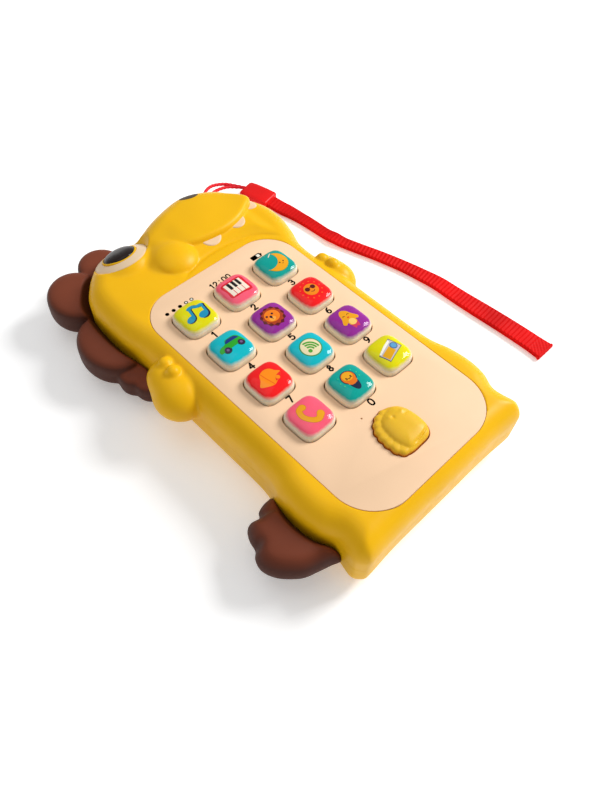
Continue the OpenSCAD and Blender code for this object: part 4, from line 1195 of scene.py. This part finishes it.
def webbing(lift, half, thick, shift, phase):
    """One layer of woven strap: smooth edges, ribs across, pinched where it enters the buckle."""
    path = catmull(WEB_LINE, 12, closed=False)
    path, run = spaced(np.column_stack([path, np.zeros(len(path))]), 0.16)
    total = run[-1]
    u = np.concatenate([np.linspace(-1, 1, 25), np.linspace(1, -1, 9)[1:-1]])
    top = np.arange(len(u)) < 25

    def section(i, side, up):
        s = run[i]
        pinch = np.interp(s, (0, 10, 18, 34, 39, 46, 60, 76, 96, 116, total - 6, total),
                          (0.76, 0.78, 0.66, 0.61, 0.67, 0.6, 0.61, 0.66, 0.82, 0.93, 0.98, 1.06))
        kink = 0.5 * math.exp(-((s - 40) / 3.5) ** 2) + 0.35 * math.exp(-((s - 93) / 6) ** 2)
        rise = lift + kink + 0.9 * (1 - ease(0, 9, s))
        rib = np.cos(2 * np.pi * (s / 1.75 + 0.1 * u ** 2 + phase))
        edge_fade = 1 - np.clip((np.abs(u) - 0.84) / 0.1, 0, 1)
        loose = ease(total - 8, total - 4, s)
        weave = rib * (1 - loose) + loose * np.cos(2 * np.pi * s / 1.9) * np.cos(np.pi * 5.2 * u)
        roll = thick / 2 * np.sqrt(np.clip(1 - ((np.abs(u) - 0.9) / 0.1).clip(0, 1) ** 2, 0, 1))
        z = np.where(top, roll + (0.07 + 0.1 * ease(25, 70, s)) * weave * edge_fade, -roll)
        return np.outer((u * half * pinch + shift), side) + np.outer(z + rise + thick / 2, [0, 0, 1.0])
    return sweep(path, section)


def webbing_fold():
    """Rolled end of the webbing where its two layers meet."""
    a = np.radians(np.linspace(0, 360, 28, endpoint=False))
    rings = []
    for x in np.linspace(-5.5, 5.5, 23):
        end = 1 - max(0, (abs(x) - 5.0) / 0.6) ** 2
        rim = 1.22 * end * (1 + 0.04 * math.cos(2 * math.pi * x / 1.1))
        rings.append(np.column_stack([np.full(28, WEB_END[0] + x), WEB_END[1] + 0.1 + 0.62 * rim * np.cos(a),
                                      1.33 + rim * np.sin(a)]))
    return loft(rings)


cords = merged(*[cord(cord_loop(swing, lift)) for swing, lift in ((0.9, 0.5), (-1.0, -0.9))])
webs = merged(webbing(0.12, 4.9, 1.15, 0.12, 0.0), webbing(1.33, 4.8, 1.15, -0.1, 0.35), webbing_fold())
for name, solid, material, node, slot, sharp in (
        ("strap_cord_twist", cords, CORD_RED, "strap_cord", "strap_cord_red", 60),
        ("strap_buckle_moulding", buckle(), BUCKLE_RED, "strap_buckle", "buckle_red", 40),
        ("strap_webbing_weave", webs, STRAP_RED, "strap_webbing", "strap_red", 60)):
    place(name, make_mesh(node, *solid), material, "wrist_strap", [node], sharp)


# ---------- printing on the face panel ----------

def half_turn(strokes):
    return [[(-x, -y) for x, y in stroke] for stroke in strokes]


NOUGHT_SIDE = [[(0.4, 1.4), (-0.4, 1.4), (-0.88, 0.6), (-0.88, -0.6), (-0.4, -1.4), (0.4, -1.4)]]
SIX = [[(0.6, 1.42), (-0.4, 0.8), (-0.85, -0.4), (-0.5, -1.3), (0.3, -1.45), (0.85, -0.65), (0.4, 0.12),
        (-0.4, 0.1), (-0.8, -0.4)]]
STROKES = {
    "0": NOUGHT_SIDE + half_turn(NOUGHT_SIDE),
    "1": [[(-0.55, 0.85), (0.15, 1.5)], [(0.15, 1.5), (0.15, -1.5)]],
    "2": [[(-0.85, 0.75), (-0.4, 1.42), (0.45, 1.38), (0.8, 0.7), (0.3, -0.2), (-0.85, -1.4)],
          [(-0.85, -1.4), (0.95, -1.4)]],
    "3": [[(-0.8, 1.1), (0, 1.5), (0.75, 0.85), (0.3, 0.15), (-0.2, 0.1)],
          [(-0.2, 0.1), (0.6, -0.1), (0.88, -0.8), (0.1, -1.5), (-0.88, -1.1)]],
    "4": [[(0.45, -1.5), (0.45, 1.5)], [(0.45, 1.5), (-0.95, -0.65)], [(-0.95, -0.65), (1.05, -0.65)]],
    "5": [[(0.78, 1.4), (-0.62, 1.4)], [(-0.62, 1.4), (-0.75, 0.15)],
          [(-0.75, 0.15), (0.05, 0.45), (0.82, -0.15), (0.7, -1.1), (-0.05, -1.5), (-0.88, -1.1)]],
    "6": SIX,
    "7": [[(-0.85, 1.4), (0.85, 1.4)], [(0.85, 1.4), (-0.2, -1.5)]],
    "8": [[(0, 0.15), (0.68, 0.8), (0, 1.5)], [(0, 1.5), (-0.68, 0.8), (0, 0.15)],
          [(0, 0.15), (0.88, -0.65), (0, -1.5)], [(0, -1.5), (-0.88, -0.65), (0, 0.15)]],
    "9": half_turn(SIX),
}
DIGITS = [("1", -19.4, 20.1), ("2", 0.4, 20.4), ("3", 20, 20.3), ("4", -19.2, 0.4), ("5", 0.8, 0.4),
          ("6", 20, 0.4), ("7", -19, -19.2), ("8", 0.8, -19.2), ("9", 20.4, -19.2), ("0", 0.8, -38.9)]
CLOCK = [("1", -4.5), ("2", -2.6), ("0", 1.6), ("0", 3.7)]
CLOCK_Y = 39.1
LAMPS_ON, LAMPS_OFF, LAMP_Y = [-26, -23, -20], [-17.1, -14.5], 39.2


def digit(text, x, y, size=0.9, width=0.66):
    return [line(np.array(stroke) * size + [x, y], width) for stroke in STROKES[text]]


def panel_surface(x, y):
    return np.full(np.shape(x), FACE_Z)


legend = [ring for text, x, y in DIGITS for ring in digit(text, x, y)]
legend += [ring for text, x in CLOCK for ring in digit(text, x, CLOCK_Y, 0.78, 0.54)]
legend += dots([(-0.5, CLOCK_Y - 0.65), (-0.5, CLOCK_Y + 0.55)], 0.3)
film("panel_digits", [(PRINT_INK, legend)], panel_surface, "root")
film("panel_status_symbols", [
    (PRINT_INK, dots([(x, LAMP_Y) for x in LAMPS_ON + LAMPS_OFF], 0.8, 20)
     + [rounded_ring(16.7, 21.5, 38.75, 41.05, 0.3), rounded_ring(21.3, 22.0, 39.4, 40.4, 0.2)]),
    (PRINT_WHITE, dots([(x, LAMP_Y) for x in LAMPS_OFF], 0.42, 18)
     + [rounded_ring(19.5, 20.9, 39.15, 40.65, 0.15)])], panel_surface, "root")


# ---------- the CAD pieces that keep their own shape ----------

def brushed(name, colour, rough):
    """Metal with fine drawn lines."""
    n = Nodes(name)
    base = linear(*colour)
    lines = n.noise(220, 4.0, 0.7)
    n.set(Base_Color=n.mix(n.remap(lines, 0.3, 0.7, 0, 1), shaded(base, 0.8), base),
          Metallic=1.0, Roughness=n.remap(n.noise(900, 2.0), 0.3, 0.7, rough - 0.06, rough + 0.1))
    n.bump(lines, 0.15, 0.02)
    return n.material


def solder_mask(name):
    """Green board with a faint web of tracks under the lacquer."""
    n = Nodes(name)
    cells = n.tree.nodes.new("ShaderNodeTexVoronoi")
    cells.feature = "DISTANCE_TO_EDGE"
    cells.inputs["Scale"].default_value = 260
    n.link(n.place, cells.inputs["Vector"])
    track = n.remap(cells.outputs["Distance"], 0.02, 0.06, 1.0, 0.0)
    n.set(Base_Color=n.mix(track, linear(16, 92, 52), linear(40, 132, 76)), Roughness=0.34)
    n.bump(track, 0.3, 0.03)
    return n.material


KEPT = {
    "shell_yellow": SHELL,
    "silicone_grey": moulded("inner_silicone", (206, 204, 198), rough=0.55, shade=0.93, grain=0.3, glow=0.2),
    "board_green": solder_mask("inner_board"),
    "chip_black": moulded("inner_chip", (30, 30, 32), rough=0.45, shade=0.8, grain=0.4, grain_scale=3000),
    "led_red": moulded("inner_lamp", (214, 36, 24), rough=0.15, shade=0.9, grain=0.05, coat=1.0, glow=0.4),
    "steel": brushed("inner_steel", (196, 198, 202), 0.3),
    "cone_paper": moulded("inner_cone", (58, 54, 50), rough=0.8, shade=0.75, grain=0.8, grain_scale=1600),
    "cell_wrap": moulded("inner_cell", (52, 92, 150), rough=0.3, shade=0.85, grain=0.1, coat=0.4),
    "switch_black": moulded("inner_switch", (34, 32, 34), rough=0.4, shade=0.8, grain=0.3),
    "wire_red": moulded("inner_wire_red", (196, 32, 28), rough=0.4, shade=0.85, grain=0.2),
    "wire_black": moulded("inner_wire_black", (30, 28, 30), rough=0.4, shade=0.8, grain=0.2),
}
for node, piece in sorted(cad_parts.items()):
    for held in piece.material_slots:
        kind = held.material.name.split(".")[0]
        if kind in KEPT and not piece.hide_render:
            held.material = KEPT[kind]


# ---------- floor, light and camera ----------

def floor(half=1500, glow=0.27):
    mesh = make_mesh("floor", [[-half, -half, 0], [half, -half, 0], [half, half, 0], [-half, half, 0]],
                     [(0, 1, 2, 3)])
    obj = bpy.data.objects.new("floor", mesh)
    bpy.context.scene.collection.objects.link(obj)
    paper = moulded("floor_white", (252, 252, 252), rough=0.8, shade=0.995, grain=0, shine=0.0)
    shader = paper.node_tree.nodes["Principled BSDF"]
    shader.inputs["Emission Color"].default_value = (1, 1, 1, 1)
    shader.inputs["Emission Strength"].default_value = glow
    mesh.materials.append(paper)


def area_light(name, at, power, size):
    """Square lamp that faces the middle of the key grid."""
    data = bpy.data.lights.new(name, "AREA")
    data.energy, data.size = power, size * MM
    lamp = bpy.data.objects.new(name, data)
    lamp.location = Vector(at) * MM
    lamp.rotation_euler = (-Vector(at)).to_track_quat("-Z", "Y").to_euler()
    bpy.context.scene.collection.objects.link(lamp)


def surroundings(strength=0.4):
    world = bpy.data.worlds.new("studio")
    world.use_nodes = True
    background = world.node_tree.nodes["Background"]
    background.inputs["Color"].default_value = (1, 1, 1, 1)
    background.inputs["Strength"].default_value = strength
    bpy.context.scene.world = world
    bpy.context.scene.view_settings.view_transform = "Standard"


def camera(at=(-116.82, -110.44, 219.97), azimuth=-48.05, elevation=54.82, roll=4.52, lens=41.31):
    """Looks down at the key face from the lower left, as a person holding the toy would."""
    azimuth, elevation, roll = (math.radians(v) for v in (azimuth, elevation, roll))
    back = Vector((math.sin(azimuth) * math.cos(elevation), -math.cos(azimuth) * math.cos(elevation),
                   math.sin(elevation)))
    right = (-back).cross(Vector((0, 0, 1))).normalized()
    up = back.cross(right)
    axes = right * math.cos(roll) + up * math.sin(roll), up * math.cos(roll) - right * math.sin(roll), back
    data = bpy.data.cameras.new("camera")
    data.sensor_width, data.lens, data.sensor_fit = 36.0, lens, "HORIZONTAL"
    data.clip_start, data.clip_end = 0.01, 10
    cam = bpy.data.objects.new("camera", data)
    cam.matrix_world = Matrix.Translation(Vector(at) * MM) @ Matrix(axes).transposed().to_4x4()
    bpy.context.scene.collection.objects.link(cam)
    bpy.context.scene.camera = cam


floor()
area_light("key_light", (690, -210, 590), 7.9, 330)
area_light("top_light", (-60, 160, 520), 0.4, 420)
surroundings()
camera()
